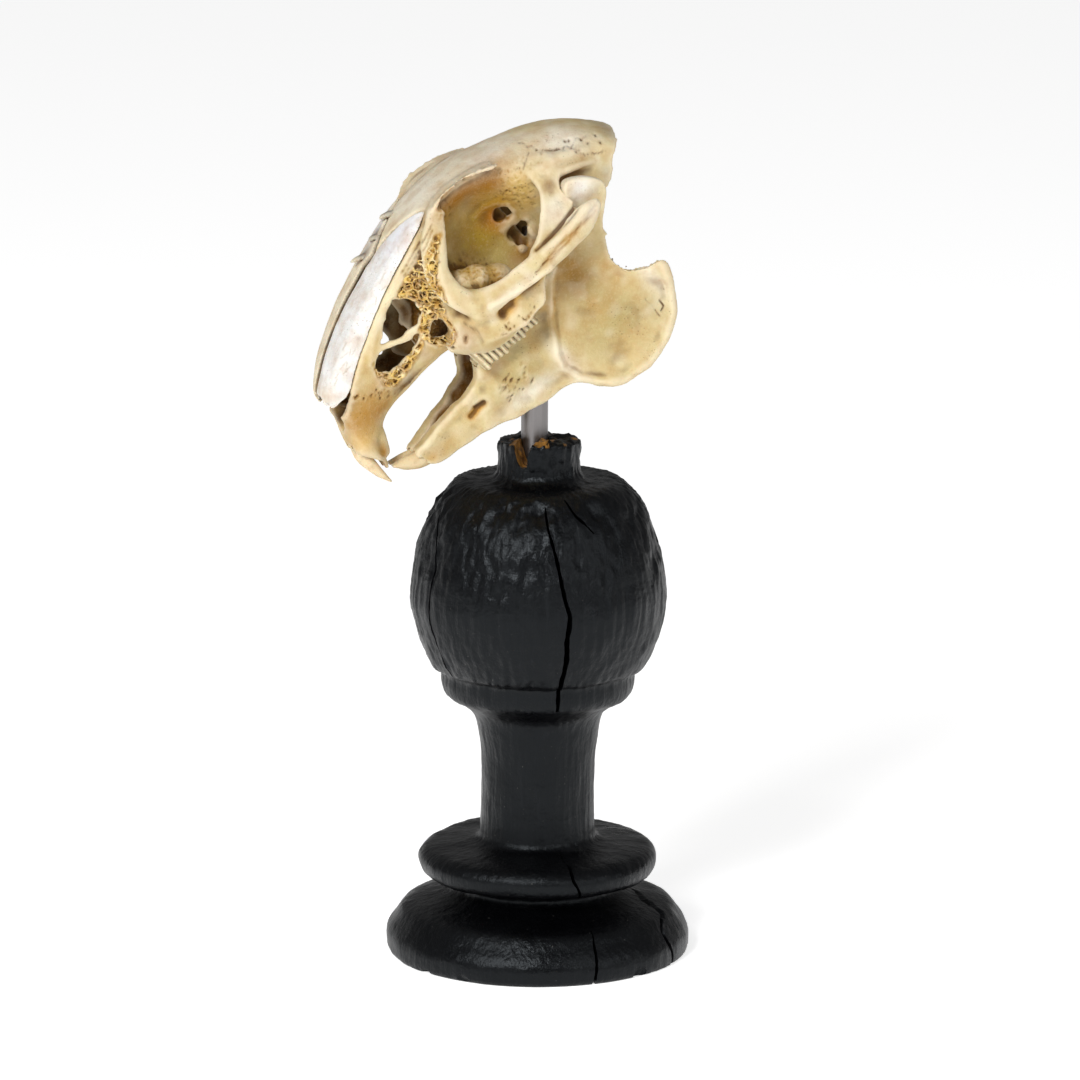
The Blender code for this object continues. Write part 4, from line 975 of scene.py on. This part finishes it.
x, y, z = clay.places.T
# Painted shade: the inside of the muzzle, seen through its windows, is painted dark brown
ahead = clamp((39 - x) / 2)
inward = clamp(-y * clay.normals[:, 1] * 0.5) * ahead
middle = clamp((6.6 - np.abs(y)) / 1) * ahead * clamp((x - 12) / 4)
middle *= np.abs(clay.normals[:, 2]) < 0.6
clay.mix("#482b04", np.maximum(inward, middle) * clamp(0.85 + lumps(clay.places, 4, 51)))
# Painted shade in the orbit's two openings
clay.dab(DARK, (57.4, -3, 4.4), (2.2, 2, 2.2), 0.95)
clay.dab(DARK, (57.4, -2.6, -2.6), (3, 2.2, 4), 0.95)
clay.dab("#e0d2ac", (60.2, -5.6, -1), (1, 1, 3.4), 0.8)

# Dry bone: chalky to waxy, with hair-fine pores; painted shade darkens the places the piece shelters and its
# hollows, and ridges are paler
bone = new_material(
    "dry_aged_bone", IOR=1.5, Specular_IOR_Level=0.25, Subsurface_Weight=0.08, Subsurface_Scale=0.0008)
where = object_places(bone)
mottle = pattern(bone, "Noise", 3.5, where, Detail=6, Roughness=0.6)
fine = pattern(bone, "Noise", 0.5, where, Detail=5, Roughness=0.65)
porous = ramp(bone, pattern(bone, "Noise", 9, where, Detail=2), 0.50, 0.60)
dots = ramp(bone, pattern(bone, "Voronoi", 0.8, where), 0.20, 0.08)
dots = add_node(bone, "Math", {"operation": "MULTIPLY"}, {0: dots, 1: porous}).outputs[0]
faint = add_node(bone, "Math", {"operation": "MULTIPLY", 1: 0.55}, {0: dots}).outputs[0]
sunk = add_node(bone, "Math", {"operation": "SUBTRACT", 0: 1}, {1: dots}).outputs[0]
deep = read_attribute(bone, "hollow")
colour = read_attribute(bone, "tint", "Color")
for share, tone in (
    (ramp(bone, mottle, 0.42, 0.75, 0, 0.45), "#a5742c"),
    (ramp(bone, fine, 0.5, 0.72, 0, 0.16), "#e8dab4"), (faint, BROWN),
    # Painted shade: darker where the piece shelters itself and in the hollows below its softened skin; paler
    # on ridges
    (ramp(bone, read_attribute(bone, "shelter"), 0.25, 0.95, 0, 0.75), "#84580e"),
    (ramp(bone, deep, 0.03, 0.26, 0, 0.8), "#5a3a12"),
    (ramp(bone, deep, -0.05, -0.30, 0, 0.4), "#efe3c6"),
):
    colour = blend_colours(bone, share, colour, tone)
connect(bone, colour, ramp(bone, fine, 0.3, 0.7, 0.42, 0.62), [(fine, 0.5, 0.3), (sunk, 0.5, 0.2)])
clay.finish("bone", bone, "cranium")


# Lacy bone of the cheeks: the side of a rabbit's muzzle is a net of fine struts, grown in layers and open
# between them. Here it has the golden stain of old fat.
LACE_VOXEL, CRUMBS = 0.13, 70
# Layers: cell size, depth under the skin, half the struts' thickness
LACE_LAYERS = ((1.9, -0.45, 0.25), (1.35, 0.05, 0.23), (1.05, 0.6, 0.22))


def lace_net(outline, side, size, depth, thickness, dice):
    """One layer of struts over an outline seen from the side, laid on the cranium's skin."""
    xs, zs = zip(*outline)
    seeds = []
    for i in range(int((max(xs) - min(xs)) / size) + 4):
        for k in range(int((max(zs) - min(zs)) / size) + 4):
            corner = ((min(xs), i), (min(zs), k))
            seeds.append(Vector([low + (n - 1.5 + dice.uniform(-0.7, 0.7)) * size for low, n in corner]))
    corners, _, faces, *_ = delaunay_2d_cdt(seeds, [], [], 0, 1e-5)
    middles = np.array([np.mean([corners[n] for n in face], axis=0) for face in faces])
    kept, places = {}, []
    for n, ((x, z), inside) in enumerate(zip(middles, inside_of(outline, middles))):
        hit = skin.ray_cast(Vector((x, side * 40, z)), Vector((0, -side, 0)))[0]
        if inside and hit and hit.y * side > 5.5:
            kept[n] = len(places)
            places.append((x, hit.y - side * (depth + dice.uniform(-0.45, 0.45)), z))
    sharing = {}
    for n, face in enumerate(faces):
        for a, b in zip(face, [*face[1:], face[0]]):
            sharing.setdefault((min(a, b), max(a, b)), []).append(n)
    pairs = [pair for pair in sharing.values() if len(pair) == 2 and kept.keys() >= set(pair)]
    struts = [(kept[a], kept[b]) for a, b in pairs]
    net = mesh_object("net", places, [strut for strut in struts if dice.random() > 0.16])
    work_on(net)
    bpy.ops.object.convert(target="CURVE")
    net = bpy.context.object
    net.data.bevel_depth, net.data.bevel_resolution, net.data.use_fill_caps = thickness, 1, True
    bpy.ops.object.convert(target="MESH")
    return bpy.context.object


for side, word in SIDES:
    dice = Random(20 + side)
    nets = []
    for size, depth, thickness in LACE_LAYERS:
        for outline in (LACE_ABOVE, LACE_BELOW):
            nets.append(lace_net(outline, side, size, depth, thickness, dice))
    for k in range(CRUMBS):
        x, z = dice.uniform(13, 43), dice.uniform(-7, 14)
        hit = skin.ray_cast(Vector((x, side * 40, z)), Vector((0, -side, 0)))[0]
        if hit and any(inside_of(outline, np.array([[x, z]]))[0] for outline in (LACE_ABOVE, LACE_BELOW)):
            radii = [dice.uniform(0.3, 0.85) for _ in range(3)]
            turn = dice.uniform(-40, 60)
            nets.append(ball("crumb", (x, -side * hit.y, z), radii, turn, side=side, detail=2))
    lacework = melt("lacy_cheek_bone_" + word, nets, LACE_VOXEL, 1)
    clay = Clay(lacework, "#d9b660")
    clay.wear((0.14, 0.6, 3), (0.16, 1.6, 6))
    clay.speckle("#f0dfae", 1.8, 0.9, 2)
    clay.speckle(OCHRE, 2.4, 0.7, 12)
    clay.speckle(BROWN, 1.5, 0.3, 22)
    clay.finish("bone", bone, "cranium")


# Nasal bones: the pair of thin, curved plates that roof the nose. They are bleached white, and held by
# their open seams between the frontal bone and the jaw bones.
NASAL_COLOURS = (
    ("#dedfe8", (36, -6, 17), (8, 6, 5), 0.6), ("#d0c0a0", (2, -3, 1), (3, 4, 3), 0.5),
    ("#c3beb6", (12, -6, 7), (7, 4, 4), 0.25), (BROWN, (14.6, -7, 7.4), (0.7, 3, 0.55), 0.95),
)
NASAL_VOXEL = 0.25
# Flakes on the right bone: place, radii
FLAKES = [
    ((39, 3.9, 18.9), (2.2, 1, 0.3)), ((33.4, 3.3, 17.4), (1.6, 1.3, 0.28)),
    ((28.4, 3.7, 15.9), (2.8, 0.9, 0.3)),
]
white_bone = bone.copy()
white_bone.name = "bleached_bone"
for side, word in SIDES:
    nasal = skull_solid("nasal_bone_bleached_" + word, 2, 13, around=3, along=4)
    middle = NASAL_LEAN + side * 0.3
    plan = [*on_side(NASAL_REAR, side), (-3, side * 12), (-3, middle), (27, middle)]
    keep_inside(nasal, from_above("plan", plan), seam_wall("seam", 0))
    cut_away(nasal, *muzzle_hollows())
    end = slab("end", [(-6, -8), (0.4, -8), (0.7, 8), (-6, 8)], -12, 12, steps=1)
    cut_away(nasal, roughen(melt("end", [end], 0.35, 0), 1.3, 0.7, 3 + side))
    chosen = FLAKES if side > 0 else []
    flakes = [roughen(ball("flake", place, radii, 20), 0.9, 0.25, 2) for place, radii in chosen]
    nasal = melt("nasal_bone_bleached_" + word, [nasal, *flakes], NASAL_VOXEL, 1)
    clay = Clay(nasal, "#e4e3e0" if side < 0 else "#e0d3b8")
    clay.wear((0.06, 4, 1), (0.03, 1.2, 3))
    if side > 0:
        on_top = clamp(clay.normals[:, 2] * 2)
        clay.push += 0.5 * on_top * np.clip((clay.places[:, 0] - 10) / 14, 0.2, 1)
        # Painted shade on the right bone's edge that faces the seam
        clay.mix("#3a2408", (clay.normals[:, 1] < -0.35) * (clay.places[:, 1] < 2.8))
    else:
        clay.push -= 0.35 * clamp((clay.places[:, 1] + 1.2) / 1.5)
    dice = Random(31)
    for k in range(18):
        x = dice.uniform(4, 38)
        start = (x, 1.4 + 0.40 * x + dice.uniform(-1, 2))
        end = (x + dice.uniform(0.4, 2.4), start[1] + dice.uniform(0, 1))
        clay.mix("#b4ab9c", clay.groove([start, end], 0.12, 0.06, side) * 0.6)
    for colour, centre, radius, strength in NASAL_COLOURS:
        clay.dab(colour, centre, radius, strength, (side,))
    for (x, y, z), radii in FLAKES:
        clay.dab("#5c5e66", (x, -y, z + 0.4), (3.2, 3, 1.2), float(side > 0), (1,))
    clay.finish("pale_bone", white_bone, "nasal_bone_" + word)


# Incisors: one long, curved upper pair with a furrow down the front, and a small peg behind each. They
# are dentine with enamel on the front, and stand in their sockets.
INCISOR_COLOURS = {"upper_incisor": "#d9c39a", "peg_incisor": "#cbb287", "lower_incisor": "#d6c096"}
LOWER_INCISOR = [
    (17.5, -2.2, -26.6, 1.2, 1.4), (12.5, -1.9, -26.4, 1.3, 1.9), (8.6, -1.7, -25.6, 1.35, 2),
    (5.4, -1.6, -24, 1.35, 1.5), (2.9, -1.6, -22.4, 1.25, 0.35),
]
enamel = new_material("tooth_enamel_and_dentine", IOR=1.6, Subsurface_Weight=0.15, Subsurface_Scale=0.0008)
where = object_places(enamel)
stain = pattern(enamel, "Noise", 1.6, where, Detail=5)
brown = ramp(enamel, stain, 0.5, 0.75, 0, 0.5)
colour = blend_colours(enamel, brown, read_attribute(enamel, "tint", "Color"), "#9c7440")
# Painted shade in the teeth's hollows
hollow_shade = ramp(enamel, read_attribute(enamel, "hollow"), 0.01, 0.12, 0, 0.85)
colour = blend_colours(enamel, hollow_shade, colour, "#4c3016")
fine = pattern(enamel, "Noise", 0.3, where, Detail=4)
connect(enamel, colour, ramp(enamel, stain, 0.3, 0.7, 0.22, 0.45), [(fine, 0.25, 0.1)])


def make_incisor(kind, stations, side, word):
    made = strap(kind + "_enamelled_" + word, on_side(stations, side), wide=(0, 1, 0), sides=40, along=14)
    clay = Clay(made, INCISOR_COLOURS[kind])
    if kind == "upper_incisor":
        middle = np.interp(-clay.places[:, 2], [9, 25], [1.7, 1.5])
        front = clamp(-clay.normals[:, 0] * 2)
        clay.push -= 0.28 * front * np.exp(-(((np.abs(clay.places[:, 1]) - middle + 0.3) / 0.3) ** 2))
    clay.wear((0.03, 1.2, 4 + side))
    clay.finish("tooth", enamel, kind + "_" + word)


for side, word in SIDES:
    for kind, stations in (("upper", UPPER_INCISOR), ("peg", PEG_INCISOR), ("lower", LOWER_INCISOR)):
        make_incisor(kind + "_incisor", stations, side, word)


# Cheek teeth: rows of ridged columns, each of two plates of enamel round softer dentine, ground flat
# against each other. They stand side by side in one trench.
CROWN_VOXEL = 0.16
CROWN_COLOURS = ("#d8cba6", "#84643a")


def cheek_teeth(name, row, side, node):
    first, pitch, teeth, inner, outer, root, crown, lean = row
    middle, half_deep, upwards = (outer + inner) / 2, (outer - inner) / 2 * 1.02, np.sign(crown - root)
    columns = []
    for i, half in ((i, half) for i in range(teeth) for half in (-1, 1)):
        x = first + i * pitch + half * pitch * 0.25
        ring = []
        for turn in (2 * pi * k / 24 for k in range(24)):
            squarish = 1 + 0.10 * cos(4 * turn)
            ring.append((pitch * 0.35 * squarish * cos(turn), half_deep * squarish * sin(turn)))
        levels = []
        for share, small in ((0, 1), (0.25, 1), (0.5, 1), (0.7, 1), (0.85, 1), (0.94, 0.92), (1, 0.62)):
            z = root + (crown - root) * share - (0.25 * (half > 0) + 0.25 * sin(3.1 * i + half)) * upwards
            level = [(x + px * small + lean * (z - root), middle + py * small, z) for px, py in ring]
            levels.append(on_side(level, side))
        columns.append(loft("column", levels, 3))
    clay = Clay(melt(name, columns, CROWN_VOXEL, 2), CROWN_COLOURS[0])
    x = clay.places[:, 0] - lean * (clay.places[:, 2] - root)
    # Painted shade in the creases between the columns
    ridge = 0.5 + 0.5 * np.cos((x - first + pitch * 0.25) / (pitch * 0.5) * 2 * pi)
    clay.mix(CROWN_COLOURS[1], 0.75 * (1 - ridge) ** 4)
    clay.mix("#c4b48c", clamp(0.5 + lumps(clay.places, 1.8, 21)) * 0.6)
    clay.wear((0.06, np.array([0.6, 0.6, 3]), 5), (0.03, 0.4, 8))
    clay.finish("tooth", enamel, node)


for side, word in SIDES:
    for row, kind in ((UPPER_ROW, "upper_cheek_teeth_"), (LOWER_ROW, "lower_cheek_teeth_")):
        cheek_teeth(kind + "ridged_" + word, row, side, kind + word)


# Lower jaw: two thin plates of bone that meet at the chin, with a smooth polished joint at the top of
# each. The right one stands a little wider at its rear.
JAW_OUTLINE = [
    (8.2, -23.2), (11, -22.7), (16.5, -21.6), (23.5, -20.6), (28.2, -19.3), (29.8, -17.2),
    (31.2, -15.4), (38, -15.6), (46.5, -15.6), (52, -11.8), (58, -7.8), (64, -4), (66.2, -1.8),
    (67.6, 1.2), (68.8, 3.8), (70.4, 4.6), (72.8, 3.4), (75.2, 1.2), (76.7, -1.4), (76, -3.9),
    (73.4, -6.2), (71, -9), (69, -12.4), (67.4, -16), (67.2, -18.4), (68, -20.9), (71.9, -23.4),
    (75.8, -24.4), (75.2, -28), (73.4, -32.4), (69.8, -36.8), (64.8, -39.8), (57.9, -41.2),
    (51.4, -40.4), (47.6, -37.2), (44.4, -33.6), (37.5, -33.1), (30.1, -31.8), (24.9, -30.1),
    (17.4, -29.4), (11.4, -28.8), (9.4, -27.6), (8, -25.2),
]
# Where the left jaw's two faces lie: (x, z, outer y, inner y)
JAW_FACES = [
    (8, -25, -3.6, -0.2), (14, -24, -4.4, -0.2), (14, -28, -4.4, -0.2), (20, -22, -5.2, -1.6),
    (20, -28, -5.6, -0.4), (26, -21, -6.6, -3.2), (26, -29, -7.2, -3.2), (32, -17, -8.7, -4.4),
    (32, -24, -9.3, -4.2), (32, -31, -8.4, -5), (39, -17, -9.1, -4.6), (39, -24, -10.8, -5.2),
    (39, -32, -9.8, -6.6), (46, -17, -9.5, -5.6), (46, -26, -12.6, -7.8), (46, -36, -12.4, -10),
    (52, -14, -12.6, -10.4), (54, -24, -13, -11.4), (54, -32, -13.2, -11.8), (52, -40, -14.4, -11.8),
    (60, -9, -14.6, -12.8), (60, -20, -14.4, -12.6), (62, -30, -13.8, -12.4), (60, -40, -15.8, -13.2),
    (67, -4, -15.6, -13.8), (67, -14, -15.4, -13.4), (70, 3.5, -18.2, -14.9), (73, 1, -18, -14.6),
    (74, -4, -17.2, -14.2), (70, -28, -15.4, -14), (70, -36, -16.2, -13.8), (75, -26, -17.8, -16.2),
]
# Where the right jaw's splay starts, its top, its fade, how far out it goes and how much shorter it gets
SPLAY_START, SPLAY_TOP, SPLAY_FADE, RIGHT_SPLAY, RIGHT_SHORTENING = 46, -6, 12, 0.13, 0.09
BLOCK_HALF, JAW_VOXEL = 2.5, 0.36


def jaw_faces_at(x, z):
    """The outer and inner y of the jaw at each point, weighed from the ones given."""
    total = outer = inner = 0.0
    for px, pz, y_outer, y_inner in JAW_FACES:
        weight = 1 / (((x - px) ** 2 + (z - pz) ** 2) ** 1.6 + 0.5)
        total = total + weight
        outer = outer + weight * y_outer
        inner = inner + weight * y_inner
    return outer / total, inner / total


for side, word in SIDES:
    block = slab("block", JAW_OUTLINE, -BLOCK_HALF, BLOCK_HALF, steps=6)
    jaw = melt("mandible_aged_" + word, [block], ROUGH_VOXEL, 8)
    places = places_of(jaw)
    x, z = places[:, 0].copy(), places[:, 2]
    outer, inner = jaw_faces_at(x, z)
    share = clamp((places[:, 1] + BLOCK_HALF) / (2 * BLOCK_HALF))
    y = -side * (outer + (inner - outer) * share)
    if side > 0:
        behind = np.maximum(0, x - SPLAY_START) * clamp((SPLAY_TOP - z) / SPLAY_FADE)
        x, y = x - behind * RIGHT_SHORTENING, y + behind * RIGHT_SPLAY
    put_places(jaw, np.column_stack([x, y, z]))
    turn_outwards(jaw)
    cut_away(jaw, socket(LOWER_INCISOR, side), tooth_trench(LOWER_ROW, side))
    jaw = melt(jaw.name, [jaw], JAW_VOXEL, 2)
    clay = Clay(jaw, CREAM)
    clay.wear((0.10, 4.5, 2), (0.05, 1.5, 6), (0.02, 0.7, 9))
    # The outer face: the ridge in front of the muscle's seat, the seat's hollow, the rolled rim and the
    # small hole near the chin: line, half width, depth, colour and its share
    for line, half_width, depth, colour, share in (
        ([(56.5, -9.5), (51.8, -15.1), (46.9, -22.7), (45, -25.5), (44.2, -28.8), (45.7, -33.1), (49, -37)],
         0.8, -0.45, TAN, 0),
        ([(52.6, -15.4), (47.9, -22.9), (46.1, -25.6), (45.3, -28.8), (46.8, -32.9), (50, -36.4)],
         0.5, 0.1, TAN, 0.4),
        ([(59, -16), (54, -24), (52.4, -28.5), (55, -34)], 4.6, 0.9, TAN, 0),
        ([(66, -22), (64, -29), (59, -34.5)], 4, 0.45, TAN, 0),
        ([(75, -24.5), (73.6, -29.4), (70.6, -34.9), (65, -38.8), (59.3, -40.2), (53, -39.8),
          (48.5, -36.8)], 1.1, -0.6, TAN, 0),
        ([(9, -24), (14, -23), (20, -22.2), (26.5, -21)], 1, -0.25, TAN, 0),
        ([(22.6, -24.8), (24.6, -24.3), (26.2, -24.2)], 0.75, 1, "#c48a1c", 1.3),
        # Painted shade: the hole near the chin is painted near black inside
        ([(24.4, -23.7), (26.6, -23.9)], 0.45, 0.6, DARK, 1),
        ([(69.8, -31.2), (69.6, -32.7), (68.4, -33.2)], 0.16, 0.4, DARK, 1),
        ([(67.6, -29), (67.7, -31.1), (67.5, -33.9)], 0.13, 0.25, BROWN, 0.8),
    ):
        clay.mix(colour, clay.groove(line, half_width, depth, side) * share)
    dice = Random(7)
    for k in range(34):
        centre = (30.5 + dice.uniform(0, 7.5), -22.5 - 0.75 * dice.uniform(0, 8) + dice.uniform(-1, 1))
        end = (centre[0] + 0.5, centre[1] + 0.15)
        dash = clay.groove([centre, end], dice.uniform(0.16, 0.24), 0.3, side)
        clay.mix(BROWN, dash * dice.uniform(0.3, 0.7))
    for colour, centre, radius, strength in (
        (WHITE_BONE, (71.5, -17, 1.5), (6, 4, 4.5), 0.9), (GREY, (67, -15.2, -31.5), (4.5, 4, 5), 0.3),
        ("#846220", (59, -14, -13), (7, 4, 12), 1), (OLIVE, (53.5, -13.2, -28), (5, 4, 6), 0.3),
        ("#a8955e", (60, -14.2, -28), (10, 4, 9), 0.85), (TAN, (49, -12, -18), (5, 4, 4), 0.7),
        ("#a4925e", (38, -10, -24), (14, 4, 8), 0.85),
        (PALE, (45.6, -12, -28), (2.4, 4, 8), 0.7), (PALE, (72, -15.4, -26), (3, 4, 8), 0.7),
        (TAN, (14, -4.6, -26.5), (8, 4, 2.6), 0.5), (TAN, (66, -15, -20), (4, 4, 5), 0.4),
        (PALE, (36, -9.5, -29), (11, 4, 3), 0.7), (OCHRE, (33, -8, -19), (4, 4, 2), 0.5),
    ):
        clay.dab(colour, centre, radius, strength, (side,))
    # Painted shade on the inner faces of the jaw's front, which face the other jaw
    inner_face = clamp(-clay.normals[:, 1] * side * 2) * clamp((clay.places[:, 0] - 9) / 7)
    clay.mix("#6a4204", inner_face * clamp((44 - clay.places[:, 0]) / 8))
    clay.speckle(TAN, 6, 0.3, 5)
    clay.speckle(PALE, 3, 0.15, 15)
    clay.finish("bone", bone, "mandible_" + word)


# Floor, light and camera: white paper under a large soft light from the left and a weaker one from the
# right, seen with a long lens from a little above.
FLOOR_SIZE = 8
bpy.ops.mesh.primitive_plane_add(size=FLOOR_SIZE)
floor = bpy.context.object
floor.name = "plain_floor"
white = (*linear("#ffffff"), 1)
off_white = (*linear("#fbfbfb"), 1)
glow = {"Emission_Color": white, "Emission_Strength": 0.64}
paper = new_material("white_paper", Base_Color=off_white, Roughness=0.9, **glow)
floor.data.materials.append(paper)

world = bpy.context.scene.world or bpy.data.worlds.new("studio")
bpy.context.scene.world = world
world.use_nodes = True
sky = world.node_tree.nodes["Background"].inputs
sky["Color"].default_value = white
sky["Strength"].default_value = 0.24


def soft_light(name, place, aim, size, power):
    light = bpy.data.lights.new(name, "AREA")
    light.shape, light.size, light.energy = "SQUARE", size, power
    lamp = bpy.data.objects.new(name, light)
    bpy.context.scene.collection.objects.link(lamp)
    lamp.location = place
    lamp.rotation_euler = (Vector(aim) - Vector(place)).to_track_quat("-Z", "Y").to_euler()


soft_light("key_light", (-0.85, -0.80, 0.85), (0, 0, 0.12), 0.40, 14)
soft_light("fill_light", (0.55, -1.05, 0.55), (0, 0, 0.10), 0.35, 3)

VIEW_AZIMUTH, VIEW_HEIGHT, VIEW_ROLL, DISTANCE, FOCUS_LENGTH = -19, 12.6, 0.25, 1.35, 202.5
target = Vector((0.0003, 0, 0.0935))
turn, rise, roll = radians(VIEW_AZIMUTH), radians(VIEW_HEIGHT), radians(VIEW_ROLL)
view = Vector((sin(turn) * cos(rise), -cos(turn) * cos(rise), sin(rise)))
level = Vector((cos(turn), sin(turn), 0))
upright = view.cross(level)
right = level * cos(roll) + upright * sin(roll)
up = upright * cos(roll) - level * sin(roll)
camera = bpy.data.objects.new("camera", bpy.data.cameras.new("camera"))
bpy.context.scene.collection.objects.link(camera)
camera.data.lens, camera.data.sensor_width, camera.data.clip_end = FOCUS_LENGTH, 36, 20.0
camera.matrix_world = Matrix((
    (right.x, up.x, view.x, target.x + view.x * DISTANCE),
    (right.y, up.y, view.y, target.y + view.y * DISTANCE),
    (right.z, up.z, view.z, target.z + view.z * DISTANCE),
    (0, 0, 0, 1),
))
bpy.context.scene.camera = camera
bpy.context.scene.view_settings.view_transform = "Standard"

bpy.context.view_layer.update()
